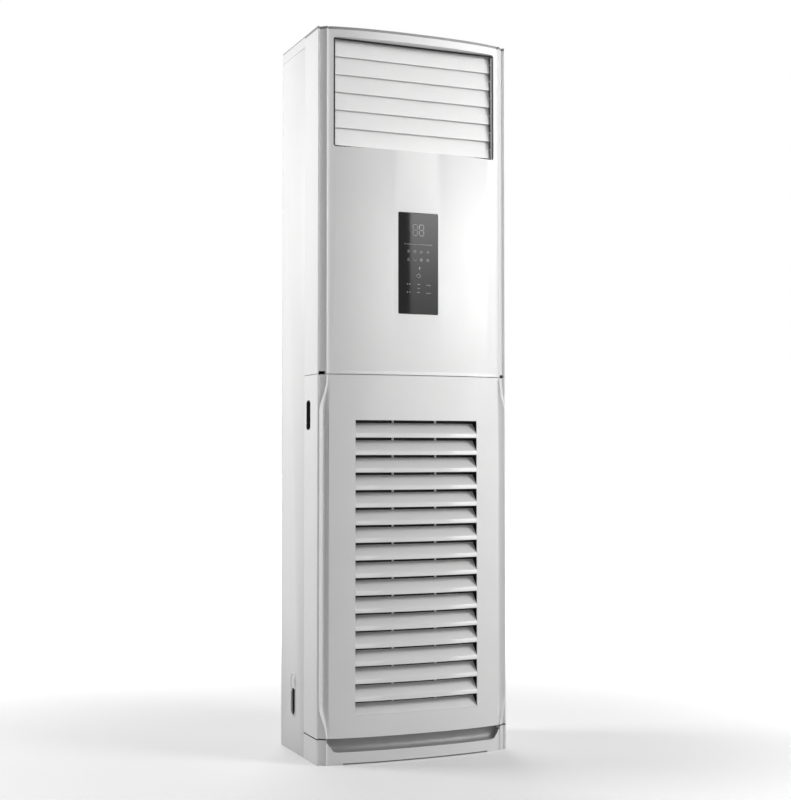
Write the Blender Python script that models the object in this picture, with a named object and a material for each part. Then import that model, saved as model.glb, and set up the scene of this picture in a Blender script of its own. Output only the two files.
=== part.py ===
"""Floor standing air conditioner: a slim white cabinet with a crowned front.

Metres, +Z up. X runs across the front, the front faces -Y, and the origin is
at the middle of the footprint, on the floor.
"""
import math

import bmesh
import bpy
from mathutils import Vector

# Overall size
WIDTH = 0.500
DEPTH = 0.298
HEIGHT = 1.760
GAP = 0.0003

# Heights of the covers and the plinth
PLINTH_TOP = 0.0602
SEAM_SHARE = 0.525
TOP_SKIRT = 0.027

# Front covers, seen from above
RETURN_DEPTH = 0.096
COVER_WALL = 0.0025
CORNER_RADIUS = 0.0035
FACE_INSET = 0.0265
FACE_SETBACK = 0.0069
CROWN = 0.0201
CROWN_FLATNESS = 0.45
CREASE_PROUD = 0.0008
FACE_STEPS = 14
POCKET_SHOULDER = 0.0075
POCKET_MARGIN = 0.003

# Flute beside the front face. Each style gives the ridge and the foot of the
# face as an inset from the side and a depth behind the corner plane, and how
# deep the floor outside the ridge and the hollow inside it are. The floor is
# nearly flat and ends in a steep wall at the ridge.
UPPER_STYLE = {"ridge": (0.0232, -0.0075), "outer": 0.0084, "foot": (0.0240, -0.0068), "inner": 0.0}
LOWER_STYLE = {"ridge": (0.0044, -0.0025), "outer": 0.0003, "foot": (0.0232, 0.0042), "inner": 0.0008}
BASE_STYLE = {"ridge": (0.0232, -0.0075), "outer": 0.0075, "foot": (0.0240, -0.0068), "inner": 0.0}
FLOOR_SHAPE = ((0.13, 0.33), (0.30, 0.64), (0.58, 0.95), (0.88, 1.0))
INNER_STOPS = (0.35, 0.7)

# Notch in each flute, at the bottom of the upper cover
NOTCH_INSET = 0.0046
NOTCH_WIDTH = 0.0160
NOTCH_HEIGHT = 0.0066

# Sheet metal of the cabinet
SHEET = 0.002
FLANGE = 0.016
PAN_FLANGE = 0.022

# Lower cover: where its ridge sweeps outwards and back
SWEEP_TOP_INSET = 0.009
SWEEP_BASE_INSET = 0.0018
SWEEP_LENGTH = 0.078
SWEEP_STEPS = 7

# Air outlet
OUTLET_SIDE = 0.0095
OUTLET_DROP = 0.0238
OUTLET_HEIGHT = 0.2657
OUTLET_RADIUS = 0.006
LIP_BACK = -0.0025
DUCT_WALL = 0.003
DUCT_RIM = 0.002
RIM_OVERLAP = 0.001
RIM_SHOWN = 0.0052

# Outlet blades
BLADE_COUNT = 6
BLADE_LAP = 0.0028
BLADE_THICKNESS = 0.0028
BLADE_EDGE = 0.0015
BLADE_STEPS = 5
BLADE_TILT = math.radians(9.5)
BLADE_END_GAP = 0.0051
BLADE_SETBACK = 0.007
BLADE_CLEAR = 0.006
LOW_PIVOT_RISE = 0.0287
HIGH_PIVOT_DROP = 0.0210
PIN_RADIUS = 0.0022
PIN_ROOT = 0.009
BORE_RADIUS = 0.00275
ROD_SEGMENTS = 12

# Vanes that turn the air sideways, behind the blades
VANE_COUNT = 9
VANE_PITCH = 0.046
VANE_THICKNESS = 0.0016
VANE_CLEAR = 0.008
VANE_CHORD = 0.032
VANE_LINK = 0.005

# Heat exchanger and its tray
COIL_OVERHANG = 0.0015
COIL_CLEAR = 0.007
COIL_DEPTH = 0.050
TRAY_HEIGHT = 0.026
TRAY_WALL = 0.004
TRAY_MARGIN = 0.006

# Control display
DISPLAY_WIDTH = 0.106
DISPLAY_HEIGHT = 0.2483
DISPLAY_DROP = 0.1496
DISPLAY_RADIUS = 0.003
DISPLAY_THICKNESS = 0.009
DISPLAY_EDGE_SINK = 0.0008

# Intake louvres
SLOT_COUNT = 17
SLOT_STRIP = 0.0108
SLOT_HALF = 0.1605
GRILLE_DROP = 0.1094
GRILLE_RISE = 0.0546
LOUVRE_DEPTH = 0.024
LOUVRE_STEPDOWN = 0.0065
LOUVRE_WALL = 0.002
LOUVRE_STEPS = 8
RIB_X = 0.0565
RIB_WIDTH = 0.004
RIB_DEPTH = 0.005
RIB_CLEAR = 0.0009
RIB_OVERRUN = 0.014

# Air filter behind the louvres
FILTER_RAIL = 0.0157
FILTER_RAIL_WIDTH = 0.004
FILTER_INSET = 0.016
FILTER_THICKNESS = 0.006
FILTER_MARGIN = 0.022
FILTER_BORDER = 0.012
FILTER_POCKET = 0.0015
FILTER_COLUMNS = 2
FILTER_ROWS = 4

# Finger pulls in the sides of the lower cover
PULL_FRONT = 0.0514
PULL_WIDTH = 0.0294
PULL_DROP = 0.0609
PULL_HEIGHT = 0.0718
PULL_FLAT = 0.0110
PULL_DEPTH = 0.018
PULL_WALL = 0.002

# Pipe opening in the sides of the cabinet
PIPE_FRONT = 0.1487
PIPE_WIDTH = 0.0503
PIPE_BOTTOM = 0.0790
PIPE_HEIGHT = 0.1207
PIPE_PLATE = 0.003
PIPE_ARC_STEPS = 6
PIPE_SLOT_WIDTH = 0.030
PIPE_SLOT_DROP = 0.0437
PIPE_RIM = 0.006
PIPE_SLIT_WIDTH = 0.007
PIPE_SLIT_HEIGHT = 0.026
PIPE_SLIT_INSET = 0.005

# Plinth
SCOOP_OVERRUN = 0.003
SCOOP_BOTTOM = 0.029
SCOOP_RADIUS = 0.024
SCOOP_DEPTH = 0.026
SCOOP_COVE = 0.011
SCOOP_COVE_STEPS = 4
FOOT_RELIEF_INSET = 0.060
FOOT_RELIEF = 0.003

ARC_STEPS = 4
BEYOND = 0.02

# Planes and sizes worked out from the ones above
HALF = WIDTH / 2
COVER_SEAM = HEIGHT * SEAM_SHARE
FACE_HALF = HALF - FACE_INSET
BACK_Y = DEPTH / 2
APEX_Y = -DEPTH / 2 + CREASE_PROUD
CORNER_Y = APEX_Y + CROWN + FACE_SETBACK
RETURN_Y = CORNER_Y + RETURN_DEPTH
SIDE_FRONT_Y = RETURN_Y + GAP
SHEET_BACK_Y = BACK_Y - SHEET - GAP
SIDE_TOP = HEIGHT - TOP_SKIRT
OUTLET_HALF = FACE_HALF - OUTLET_SIDE
OUTLET_TOP = HEIGHT - OUTLET_DROP
OUTLET_BOTTOM = OUTLET_TOP - OUTLET_HEIGHT
FIRST_PIVOT = OUTLET_BOTTOM + LOW_PIVOT_RISE
LAST_PIVOT = OUTLET_TOP - HIGH_PIVOT_DROP
BLADE_PITCH = (LAST_PIVOT - FIRST_PIVOT) / (BLADE_COUNT - 1)
BLADE_CHORD = BLADE_PITCH + BLADE_LAP
BLADE_HALF = OUTLET_HALF - BLADE_END_GAP
DUCT_HALF = OUTLET_HALF + RIM_OVERLAP
DUCT_FLOOR = FIRST_PIVOT - BLADE_CHORD / 2 - BLADE_CLEAR
DUCT_ROOF = LAST_PIVOT + BLADE_CHORD / 2 + BLADE_CLEAR
VANE_FRONT = BLADE_SETBACK + BLADE_CHORD / 2 + VANE_CLEAR
DUCT_DEPTH = VANE_FRONT + VANE_CHORD + VANE_LINK
COIL_FRONT = DUCT_DEPTH + COIL_CLEAR
COIL_HALF = DUCT_HALF + COIL_OVERHANG
DISPLAY_TOP = OUTLET_BOTTOM - DISPLAY_DROP
DISPLAY_BOTTOM = DISPLAY_TOP - DISPLAY_HEIGHT
SLOT_TOP = COVER_SEAM - GRILLE_DROP
SLOT_BASE = PLINTH_TOP + GRILLE_RISE
SLOT_PITCH = (SLOT_TOP - SLOT_BASE + SLOT_STRIP) / SLOT_COUNT
SLOT_HEIGHT = SLOT_PITCH - SLOT_STRIP
LOUVRE_RISE = SLOT_HEIGHT - LOUVRE_STEPDOWN
FILTER_HALF = HALF - FILTER_INSET
PULL_BACK = PULL_FRONT + PULL_WIDTH
PULL_TOP = COVER_SEAM - PULL_DROP
PULL_BOTTOM = PULL_TOP - PULL_HEIGHT
PULL_RADIUS = (PULL_WIDTH - PULL_FLAT) / 2
PIPE_BACK = PIPE_FRONT + PIPE_WIDTH
PIPE_TOP = PIPE_BOTTOM + PIPE_HEIGHT
PIPE_SLOT_TOP = PIPE_TOP - PIPE_SLOT_DROP
SCOOP_HALF = FACE_HALF + SCOOP_OVERRUN
FOOT_RELIEF_HALF = HALF - FOOT_RELIEF_INSET


def setback(depth):
    """World Y of a plane that lies this far behind the front corners."""
    return CORNER_Y + depth


def crown_y(x):
    """World Y of the front face, flatter at the middle than towards its sides."""
    share = (x / FACE_HALF) ** 2
    return APEX_Y + CROWN * share * mix(1.0, share, CROWN_FLATNESS)


def clear_scene():
    for item in list(bpy.data.objects):
        bpy.data.objects.remove(item, do_unlink=True)


def new_collection(name):
    collection = bpy.data.collections.new(name)
    bpy.context.scene.collection.children.link(collection)
    return collection


def make_material(name, color, roughness, metallic=0.0):
    material = bpy.data.materials.new(name)
    material.use_nodes = True
    shader = material.node_tree.nodes["Principled BSDF"]
    shader.inputs["Base Color"].default_value = (*color, 1.0)
    shader.inputs["Roughness"].default_value = roughness
    shader.inputs["Metallic"].default_value = metallic
    return material


clear_scene()
PARTS = new_collection("floor_standing_air_conditioner")
CUTTERS = new_collection("cutters")
COVER_WHITE = make_material("cover_white", (0.86, 0.86, 0.85), 0.32)
SHEET_WHITE = make_material("sheet_white", (0.84, 0.84, 0.83), 0.45)
BLADE_WHITE = make_material("blade_white", (0.93, 0.93, 0.92), 0.35)
DISPLAY_BLACK = make_material("display_black", (0.01, 0.01, 0.012), 0.06)
PULL_BLACK = make_material("pull_black", (0.02, 0.02, 0.02), 0.55)
FILTER_GREY = make_material("filter_grey", (0.04, 0.04, 0.045), 0.8)
DUCT_GREY = make_material("duct_grey", (0.25, 0.25, 0.26), 0.7)
COIL_ALUMINIUM = make_material("coil_aluminium", (0.7, 0.71, 0.72), 0.35, 1.0)
PAN_ZINC = make_material("pan_zinc", (0.55, 0.56, 0.57), 0.4, 1.0)


def add_part(name, mesh, material, location=(0, 0, 0)):
    part = bpy.data.objects.new(name, mesh)
    part.location = location
    part.data.materials.append(material)
    PARTS.objects.link(part)
    return part


def add_cutter(name, mesh, location=(0, 0, 0)):
    cutter = bpy.data.objects.new(name, mesh)
    cutter.location = location
    cutter.hide_render = True
    cutter.display_type = "WIRE"
    CUTTERS.objects.link(cutter)
    return cutter


def combine(part, tool, operation="DIFFERENCE"):
    modifier = part.modifiers.new(tool.name, "BOOLEAN")
    modifier.operation = operation
    modifier.object = tool
    modifier.solver = "EXACT"


def finish_mesh(name, bm):
    bmesh.ops.recalc_face_normals(bm, faces=bm.faces)
    mesh = bpy.data.meshes.new(name)
    bm.to_mesh(mesh)
    bm.free()
    return mesh


def box_bmesh(low, high):
    bm = bmesh.new()
    bmesh.ops.create_cube(bm, size=1.0)
    size = Vector(high) - Vector(low)
    middle = (Vector(high) + Vector(low)) / 2
    bmesh.ops.scale(bm, vec=size, verts=bm.verts)
    bmesh.ops.translate(bm, vec=middle, verts=bm.verts)
    return bm


def box_mesh(name, low, high):
    return finish_mesh(name, box_bmesh(low, high))


def boxes_mesh(name, pairs):
    """One mesh of several boxes that don't touch."""
    bm = bmesh.new()
    for low, high in pairs:
        made = bmesh.ops.create_cube(bm, size=1.0)["verts"]
        bmesh.ops.scale(bm, vec=Vector(high) - Vector(low), verts=made)
        bmesh.ops.translate(bm, vec=(Vector(high) + Vector(low)) / 2, verts=made)
    return finish_mesh(name, bm)


def prism_bmesh(outline, axis, start, end):
    """A flat outline pushed along X, Y or Z."""
    place = {
        "X": lambda a, b: (start, a, b),
        "Y": lambda a, b: (a, start, b),
        "Z": lambda a, b: (a, b, start),
    }[axis]
    push = {"X": (1, 0, 0), "Y": (0, 1, 0), "Z": (0, 0, 1)}[axis]
    bm = bmesh.new()
    face = bm.faces.new([bm.verts.new(place(a, b)) for a, b in outline])
    pushed = bmesh.ops.extrude_face_region(bm, geom=[face])["geom"]
    moved = [item for item in pushed if isinstance(item, bmesh.types.BMVert)]
    bmesh.ops.translate(bm, vec=Vector(push) * (end - start), verts=moved)
    return bm


def prism_mesh(name, outline, axis, start, end):
    return finish_mesh(name, prism_bmesh(outline, axis, start, end))


def cross_cut(bm, half, steps):
    """Cuts a wide piece into strips, so that it can follow the crown."""
    for step in range(1, steps):
        x = -half + 2 * half * step / steps
        everything = bm.verts[:] + bm.edges[:] + bm.faces[:]
        bmesh.ops.bisect_plane(bm, geom=everything, plane_co=(x, 0, 0), plane_no=(1, 0, 0))


def follow_crown(bm):
    """Bends a piece that was made flat at the middle of the crown."""
    for vert in bm.verts:
        vert.co.y += crown_y(vert.co.x) - APEX_Y


def rounded_rectangle(left, right, bottom, top, radius, steps=ARC_STEPS):
    corners = (
        (right - radius, bottom + radius, -90),
        (right - radius, top - radius, 0),
        (left + radius, top - radius, 90),
        (left + radius, bottom + radius, 180),
    )
    outline = []
    for x, z, first in corners:
        for step in range(steps + 1):
            angle = math.radians(first + 90 * step / steps)
            outline.append((x + radius * math.cos(angle), z + radius * math.sin(angle)))
    return outline


def mix(a, b, share):
    return a + (b - a) * share


def mix_styles(first, second, share):
    return {
        "ridge": tuple(mix(a, b, share) for a, b in zip(first["ridge"], second["ridge"])),
        "foot": tuple(mix(a, b, share) for a, b in zip(first["foot"], second["foot"])),
        "outer": mix(first["outer"], second["outer"], share),
        "inner": mix(first["inner"], second["inner"], share),
    }


def smooth_step(share):
    return share * share * (3 - 2 * share)


def hollow(start, end, shape, depth):
    """Points of a concave run from start to end, the ends left out."""
    return [
        (mix(start[0], end[0], stop), mix(start[1], end[1], stop) + depth * share)
        for stop, share in shape
    ]


def edge_profile(style):
    """Right half of a cover's plan, from its rear edge to the front face."""
    bend = CORNER_RADIUS * (1 - math.sqrt(0.5))
    lip = (CORNER_RADIUS, 0.0)
    points = [(0.0, RETURN_DEPTH), (0.0, CORNER_RADIUS), (bend, bend), lip]
    points += hollow(lip, style["ridge"], FLOOR_SHAPE, style["outer"])
    points.append(style["ridge"])
    inner = [(stop, math.sin(math.pi * stop)) for stop in INNER_STOPS]
    points += hollow(style["ridge"], style["foot"], inner, style["inner"])
    points.append(style["foot"])
    return [(HALF - inset, setback(depth)) for inset, depth in points]


def cover_section(style):
    """Whole plan outline of a cover: right flute, crowned face, left flute."""
    right = edge_profile(style)
    face = []
    for step in range(FACE_STEPS + 1):
        x = FACE_HALF - 2 * FACE_HALF * step / FACE_STEPS
        face.append((x, crown_y(x)))
    left = [(-x, y) for x, y in reversed(right)]
    return right + face + left


def loft_mesh(name, levels):
    """Solid through plan outlines of the same count, one at each height."""
    bm = bmesh.new()
    rings = []
    for height, outline in levels:
        rings.append([bm.verts.new((x, y, height)) for x, y in outline])
    for below, above in zip(rings, rings[1:]):
        for i in range(len(below)):
            j = (i + 1) % len(below)
            bm.faces.new((below[i], below[j], above[j], above[i]))
    bm.faces.new(rings[0])
    bm.faces.new(rings[-1])
    return finish_mesh(name, bm)


def pocket_outline(rails):
    """Plan of the space inside a cover, open at the back."""
    inner = HALF - COVER_WALL
    edge = FACE_HALF - POCKET_MARGIN
    shoulder = setback(POCKET_SHOULDER)
    right = [(inner, RETURN_Y + BEYOND), (inner, shoulder)]
    if rails:
        rail_out = FACE_HALF + FILTER_RAIL_WIDTH - POCKET_MARGIN / 2
        rail_in = rail_out - FILTER_RAIL_WIDTH
        tip = setback(FILTER_RAIL)
        right += [(rail_out, shoulder), (rail_out, tip), (rail_in, tip), (rail_in, shoulder)]
    right.append((edge, shoulder))
    face = []
    for step in range(FACE_STEPS + 1):
        x = (edge - POCKET_MARGIN) * (1 - 2 * step / FACE_STEPS)
        face.append((x, crown_y(x) + COVER_WALL))
    left = [(-x, y) for x, y in reversed(right)]
    return right + face + left


def make_upper_cover():
    style = cover_section(UPPER_STYLE)
    cover = add_part(
        "upper_front_cover",
        loft_mesh("upper_front_cover", [(COVER_SEAM + GAP, style), (HEIGHT, style)]),
        COVER_WHITE,
    )
    pocket = prism_mesh(
        "upper_pocket", pocket_outline(False), "Z", COVER_SEAM - BEYOND, HEIGHT - COVER_WALL
    )
    combine(cover, add_cutter("upper_pocket", pocket))
    combine(cover, add_cutter("outlet_lip", outlet_lip_mesh()), "UNION")
    hole = rounded_rectangle(-OUTLET_HALF, OUTLET_HALF, OUTLET_BOTTOM, OUTLET_TOP, OUTLET_RADIUS)
    cut = prism_mesh("outlet_hole", hole, "Y", -BACK_Y - BEYOND, setback(BEYOND))
    combine(cover, add_cutter("outlet_hole", cut))
    half = DISPLAY_WIDTH / 2
    hole = rounded_rectangle(-half, half, DISPLAY_BOTTOM, DISPLAY_TOP, DISPLAY_RADIUS)
    cut = prism_mesh("display_hole", hole, "Y", -BACK_Y - BEYOND, setback(0))
    combine(cover, add_cutter("display_hole", cut))
    combine(cover, add_cutter("seam_notches", seam_notches_mesh()))


def seam_notches_mesh():
    """Cutter of the notch that each flute has where the two covers meet."""
    top = COVER_SEAM + GAP + NOTCH_HEIGHT
    pairs = []
    for side in (-1, 1):
        near, far = sorted((side * (HALF - NOTCH_INSET), side * (HALF - NOTCH_INSET - NOTCH_WIDTH)))
        pairs.append(((near, -BACK_Y - BEYOND, COVER_SEAM - BEYOND), (far, setback(BEYOND), top)))
    return boxes_mesh("seam_notches", pairs)


def outlet_lip_mesh():
    """Band that runs back from the crowned face to the flat of the blades."""
    side = OUTLET_HALF + COVER_WALL
    low = (-side, -1, OUTLET_BOTTOM - COVER_WALL)
    high = (side, 1, OUTLET_TOP + COVER_WALL)
    bm = box_bmesh(low, high)
    cross_cut(bm, side, FACE_STEPS)
    for vert in bm.verts:
        front = crown_y(vert.co.x) + COVER_WALL / 2
        vert.co.y = front if vert.co.y < 0 else setback(LIP_BACK)
    return finish_mesh("outlet_lip", bm)


def make_lower_cover():
    levels = [(PLINTH_TOP + GAP, cover_section(BASE_STYLE))]
    low = PLINTH_TOP + SWEEP_BASE_INSET
    high = COVER_SEAM - SWEEP_TOP_INSET - SWEEP_LENGTH
    for start, first, second in ((low, BASE_STYLE, LOWER_STYLE), (high, LOWER_STYLE, UPPER_STYLE)):
        for step in range(SWEEP_STEPS + 1):
            share = step / SWEEP_STEPS
            style = mix_styles(first, second, smooth_step(share))
            levels.append((start + share * SWEEP_LENGTH, cover_section(style)))
    levels.append((COVER_SEAM, cover_section(UPPER_STYLE)))
    cover = add_part("lower_front_cover", loft_mesh("lower_front_cover", levels), COVER_WHITE)
    pocket = prism_mesh(
        "lower_pocket", pocket_outline(True), "Z", PLINTH_TOP - BEYOND, COVER_SEAM + BEYOND
    )
    combine(cover, add_cutter("lower_pocket", pocket))
    low = (-SLOT_HALF, -BACK_Y - BEYOND, louvre_bottom(SLOT_COUNT - 1))
    high = (SLOT_HALF, setback(BEYOND), SLOT_TOP)
    combine(cover, add_cutter("grille_hole", box_mesh("grille_hole", low, high)))
    for name, side in (("left", -1), ("right", 1)):
        outline = rounded_rectangle(
            setback(PULL_FRONT), setback(PULL_BACK), PULL_BOTTOM, PULL_TOP, PULL_RADIUS
        )
        near, far = sorted((side * (HALF - BEYOND), side * (HALF + BEYOND)))
        cut = prism_mesh(name + "_pull_hole", outline, "X", near, far)
        combine(cover, add_cutter(name + "_pull_hole", cut))


def louvre_bottom(index):
    """Height of the bottom of slot number index, counted from the top."""
    return SLOT_TOP - index * SLOT_PITCH - SLOT_HEIGHT


def make_louvres():
    """Slats: a strip in the face, and a wall that slopes up and back."""
    plumb = LOUVRE_WALL * math.hypot(LOUVRE_DEPTH, LOUVRE_RISE) / LOUVRE_DEPTH
    inside = LOUVRE_RISE * COVER_WALL / LOUVRE_DEPTH - plumb
    ease = LOUVRE_WALL / 3
    half = SLOT_HALF - GAP
    for index in range(SLOT_COUNT):
        top = louvre_bottom(index)
        wall = [(LOUVRE_DEPTH, top + LOUVRE_RISE), (LOUVRE_DEPTH, top + LOUVRE_RISE - plumb)]
        if index < SLOT_COUNT - 1:
            foot = top - SLOT_STRIP
            outline = [(0.0, foot + ease), (0.0, top - ease), (ease, top)] + wall
            outline += [(COVER_WALL, top + inside), (COVER_WALL, foot), (ease, foot)]
        else:
            outline = [(ease, top + GAP)] + wall + [(COVER_WALL + ease, top + GAP)]
        outline = [(APEX_Y + y, z) for y, z in outline]
        bm = prism_bmesh(outline, "X", -half, half)
        cross_cut(bm, half, LOUVRE_STEPS)
        follow_crown(bm)
        name = "intake_louvre_%02d" % (index + 1)
        add_part(name, finish_mesh(name, bm), COVER_WHITE)


def make_louvre_ribs():
    """Upright ribs that tie the slats from behind, with a foot at each end."""
    for name, middle in (("left", -RIB_X), ("right", RIB_X)):
        face = crown_y(RIB_X)
        wall = face + COVER_WALL + RIB_CLEAR
        near = face + LOUVRE_DEPTH + RIB_CLEAR
        far = near + RIB_DEPTH
        low = louvre_bottom(SLOT_COUNT - 1) - RIB_OVERRUN
        high = SLOT_TOP + RIB_OVERRUN
        foot = RIB_DEPTH
        outline = [
            (wall, low), (far, low), (far, high), (wall, high),
            (wall, high - foot), (near, high - foot), (near, low + foot), (wall, low + foot),
        ]
        mesh = prism_mesh(
            name + "_louvre_rib", outline, "X", middle - RIB_WIDTH / 2, middle + RIB_WIDTH / 2
        )
        add_part(name + "_louvre_rib", mesh, COVER_WHITE)


def make_filter():
    front = setback(FILTER_RAIL) + GAP
    bottom = louvre_bottom(SLOT_COUNT - 1) - FILTER_MARGIN
    top = SLOT_TOP + FILTER_MARGIN
    low = (-FILTER_HALF, front, bottom)
    high = (FILTER_HALF, front + FILTER_THICKNESS, top)
    screen = add_part("air_filter", box_mesh("air_filter", low, high), FILTER_GREY)
    width = (2 * FILTER_HALF - FILTER_BORDER * (FILTER_COLUMNS + 1)) / FILTER_COLUMNS
    height = (top - bottom - FILTER_BORDER * (FILTER_ROWS + 1)) / FILTER_ROWS
    cells = []
    for column in range(FILTER_COLUMNS):
        x = -FILTER_HALF + FILTER_BORDER + column * (width + FILTER_BORDER)
        for row in range(FILTER_ROWS):
            z = bottom + FILTER_BORDER + row * (height + FILTER_BORDER)
            floor = front + FILTER_POCKET
            cells.append(((x, front - FILTER_POCKET, z), (x + width, floor, z + height)))
    combine(screen, add_cutter("filter_cells", boxes_mesh("filter_cells", cells)))


def make_finger_pulls():
    for name, side in (("left", -1), ("right", 1)):
        outline = rounded_rectangle(
            setback(PULL_FRONT) + GAP, setback(PULL_BACK) - GAP,
            PULL_BOTTOM + GAP, PULL_TOP - GAP, PULL_RADIUS - GAP,
        )
        near, far = sorted((side * (HALF - PULL_DEPTH), side * (HALF - GAP)))
        cup = add_part(
            name + "_finger_pull",
            prism_mesh(name + "_finger_pull", outline, "X", near, far),
            PULL_BLACK,
        )
        inside = rounded_rectangle(
            setback(PULL_FRONT) + PULL_WALL, setback(PULL_BACK) - PULL_WALL,
            PULL_BOTTOM + PULL_WALL, PULL_TOP - PULL_WALL, PULL_RADIUS - PULL_WALL,
        )
        near, far = sorted((side * (HALF - PULL_DEPTH + PULL_WALL), side * (HALF + BEYOND)))
        cut = prism_mesh(name + "_pull_cup", inside, "X", near, far)
        combine(cup, add_cutter(name + "_pull_cup", cut))


def make_display():
    """Glossy panel with an upright crease down its middle."""
    half = DISPLAY_WIDTH / 2 - GAP
    outline = rounded_rectangle(
        -half, half, DISPLAY_BOTTOM + GAP, DISPLAY_TOP - GAP, DISPLAY_RADIUS - GAP
    )
    rear = APEX_Y + DISPLAY_THICKNESS
    front = -DEPTH / 2
    edge = crown_y(half) + DISPLAY_EDGE_SINK
    bm = prism_bmesh(outline, "Y", front, rear)
    everything = bm.verts[:] + bm.edges[:] + bm.faces[:]
    bmesh.ops.bisect_plane(bm, geom=everything, plane_co=(0, 0, 0), plane_no=(1, 0, 0))
    for vert in bm.verts:
        if vert.co.y < rear - GAP:
            vert.co.y = mix(front, edge, abs(vert.co.x) / half)
    add_part("display_panel", finish_mesh("display_panel", bm), DISPLAY_BLACK)


def make_duct():
    outer = DUCT_HALF + DUCT_WALL
    front = setback(LIP_BACK) + GAP
    low = (-outer, front, DUCT_FLOOR - DUCT_WALL)
    high = (outer, setback(DUCT_DEPTH), DUCT_ROOF + DUCT_WALL)
    duct = add_part("outlet_duct", box_mesh("outlet_duct", low, high), DUCT_GREY)
    low = (-DUCT_HALF, front + DUCT_RIM, DUCT_FLOOR)
    high = (DUCT_HALF, setback(DUCT_DEPTH) + BEYOND, DUCT_ROOF)
    combine(duct, add_cutter("duct_inside", box_mesh("duct_inside", low, high)))
    low = (-DUCT_HALF, front - BEYOND, DUCT_FLOOR)
    high = (DUCT_HALF, front + BEYOND, OUTLET_TOP - RIM_SHOWN)
    combine(duct, add_cutter("duct_mouth", box_mesh("duct_mouth", low, high)))
    bm = bmesh.new()
    for index in range(BLADE_COUNT):
        rod = bmesh.ops.create_cone(
            bm, segments=ROD_SEGMENTS, radius1=BORE_RADIUS, radius2=BORE_RADIUS,
            depth=2 * outer + BEYOND, cap_ends=True,
        )["verts"]
        turn_to_x(bm, rod)
        bmesh.ops.translate(bm, vec=pivot_point(index), verts=rod)
    combine(duct, add_cutter("blade_bores", finish_mesh("blade_bores", bm)))


def turn_to_x(bm, verts):
    """Turns a rod that was made upright so that it lies along X."""
    for vert in verts:
        vert.co = Vector((vert.co.z, vert.co.y, -vert.co.x))


def pivot_point(index):
    return Vector((0.0, setback(BLADE_SETBACK), FIRST_PIVOT + index * BLADE_PITCH))


def blade_outline():
    """Lens-shaped section, tilted so that each blade laps the one below."""
    points = []
    for side in (1, -1):
        for step in range(BLADE_STEPS + 1):
            share = step / BLADE_STEPS
            along = side * mix(-0.5, 0.5, share) * BLADE_CHORD
            bulge = math.sin(math.pi * share) * (BLADE_THICKNESS - BLADE_EDGE) / 2
            across = side * (BLADE_EDGE / 2 + bulge)
            points.append((across, along))
    turned = []
    for across, along in points:
        y = across * math.cos(BLADE_TILT) + along * math.sin(BLADE_TILT)
        z = along * math.cos(BLADE_TILT) - across * math.sin(BLADE_TILT)
        turned.append((y, z))
    return turned


def make_blades():
    pin_start = BLADE_HALF - PIN_ROOT
    pin_end = DUCT_HALF + DUCT_WALL
    for index in range(BLADE_COUNT):
        name = "outlet_blade_%d" % (index + 1)
        mesh = prism_mesh(name, blade_outline(), "X", -BLADE_HALF, BLADE_HALF)
        blade = add_part(name, mesh, BLADE_WHITE, pivot_point(index))
        bm = bmesh.new()
        for side in (-1, 1):
            rod = bmesh.ops.create_cone(
                bm, segments=ROD_SEGMENTS, radius1=PIN_RADIUS, radius2=PIN_RADIUS,
                depth=pin_end - pin_start, cap_ends=True,
            )["verts"]
            turn_to_x(bm, rod)
            bmesh.ops.translate(bm, vec=(side * (pin_start + pin_end) / 2, 0, 0), verts=rod)
        pins = add_cutter(name + "_pins", finish_mesh(name + "_pins", bm), pivot_point(index))
        combine(blade, pins, "UNION")


def make_vanes():
    """Upright vanes in the duct, tied by a link bar."""
    floor = DUCT_FLOOR + GAP
    roof = DUCT_ROOF - GAP
    front = setback(VANE_FRONT)
    back = front + VANE_CHORD
    reach = (VANE_COUNT - 1) / 2 * VANE_PITCH
    middle = (floor + roof) / 2
    low = (-reach - VANE_LINK, back - VANE_LINK, middle - VANE_LINK / 2)
    high = (reach + VANE_LINK, back + VANE_LINK, middle + VANE_LINK / 2)
    vanes = add_part("outlet_vanes", box_mesh("outlet_vanes", low, high), BLADE_WHITE)
    pairs = []
    for index in range(VANE_COUNT):
        x = -reach + index * VANE_PITCH
        low = (x - VANE_THICKNESS / 2, front, floor)
        pairs.append((low, (x + VANE_THICKNESS / 2, back, roof)))
    combine(vanes, add_cutter("vane_blades", boxes_mesh("vane_blades", pairs)), "UNION")


def make_coil():
    tray_top = DUCT_FLOOR - DUCT_WALL - GAP
    tray_low = tray_top - TRAY_HEIGHT
    front = setback(COIL_FRONT)
    back = front + COIL_DEPTH
    low = (-COIL_HALF, front, tray_top - TRAY_HEIGHT + TRAY_WALL + GAP)
    mesh = box_mesh("evaporator_coil", low, (COIL_HALF, back, SIDE_TOP))
    add_part("evaporator_coil", mesh, COIL_ALUMINIUM)
    reach = HALF - FLANGE - GAP
    low = (-reach, front - TRAY_MARGIN - TRAY_WALL, tray_low)
    high = (reach, back + TRAY_MARGIN + TRAY_WALL, tray_top)
    tray = add_part("drain_tray", box_mesh("drain_tray", low, high), DUCT_GREY)
    low = (-COIL_HALF - TRAY_MARGIN, front - TRAY_MARGIN, tray_low + TRAY_WALL)
    high = (COIL_HALF + TRAY_MARGIN, back + TRAY_MARGIN, tray_top + BEYOND)
    combine(tray, add_cutter("tray_inside", box_mesh("tray_inside", low, high)))


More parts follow.
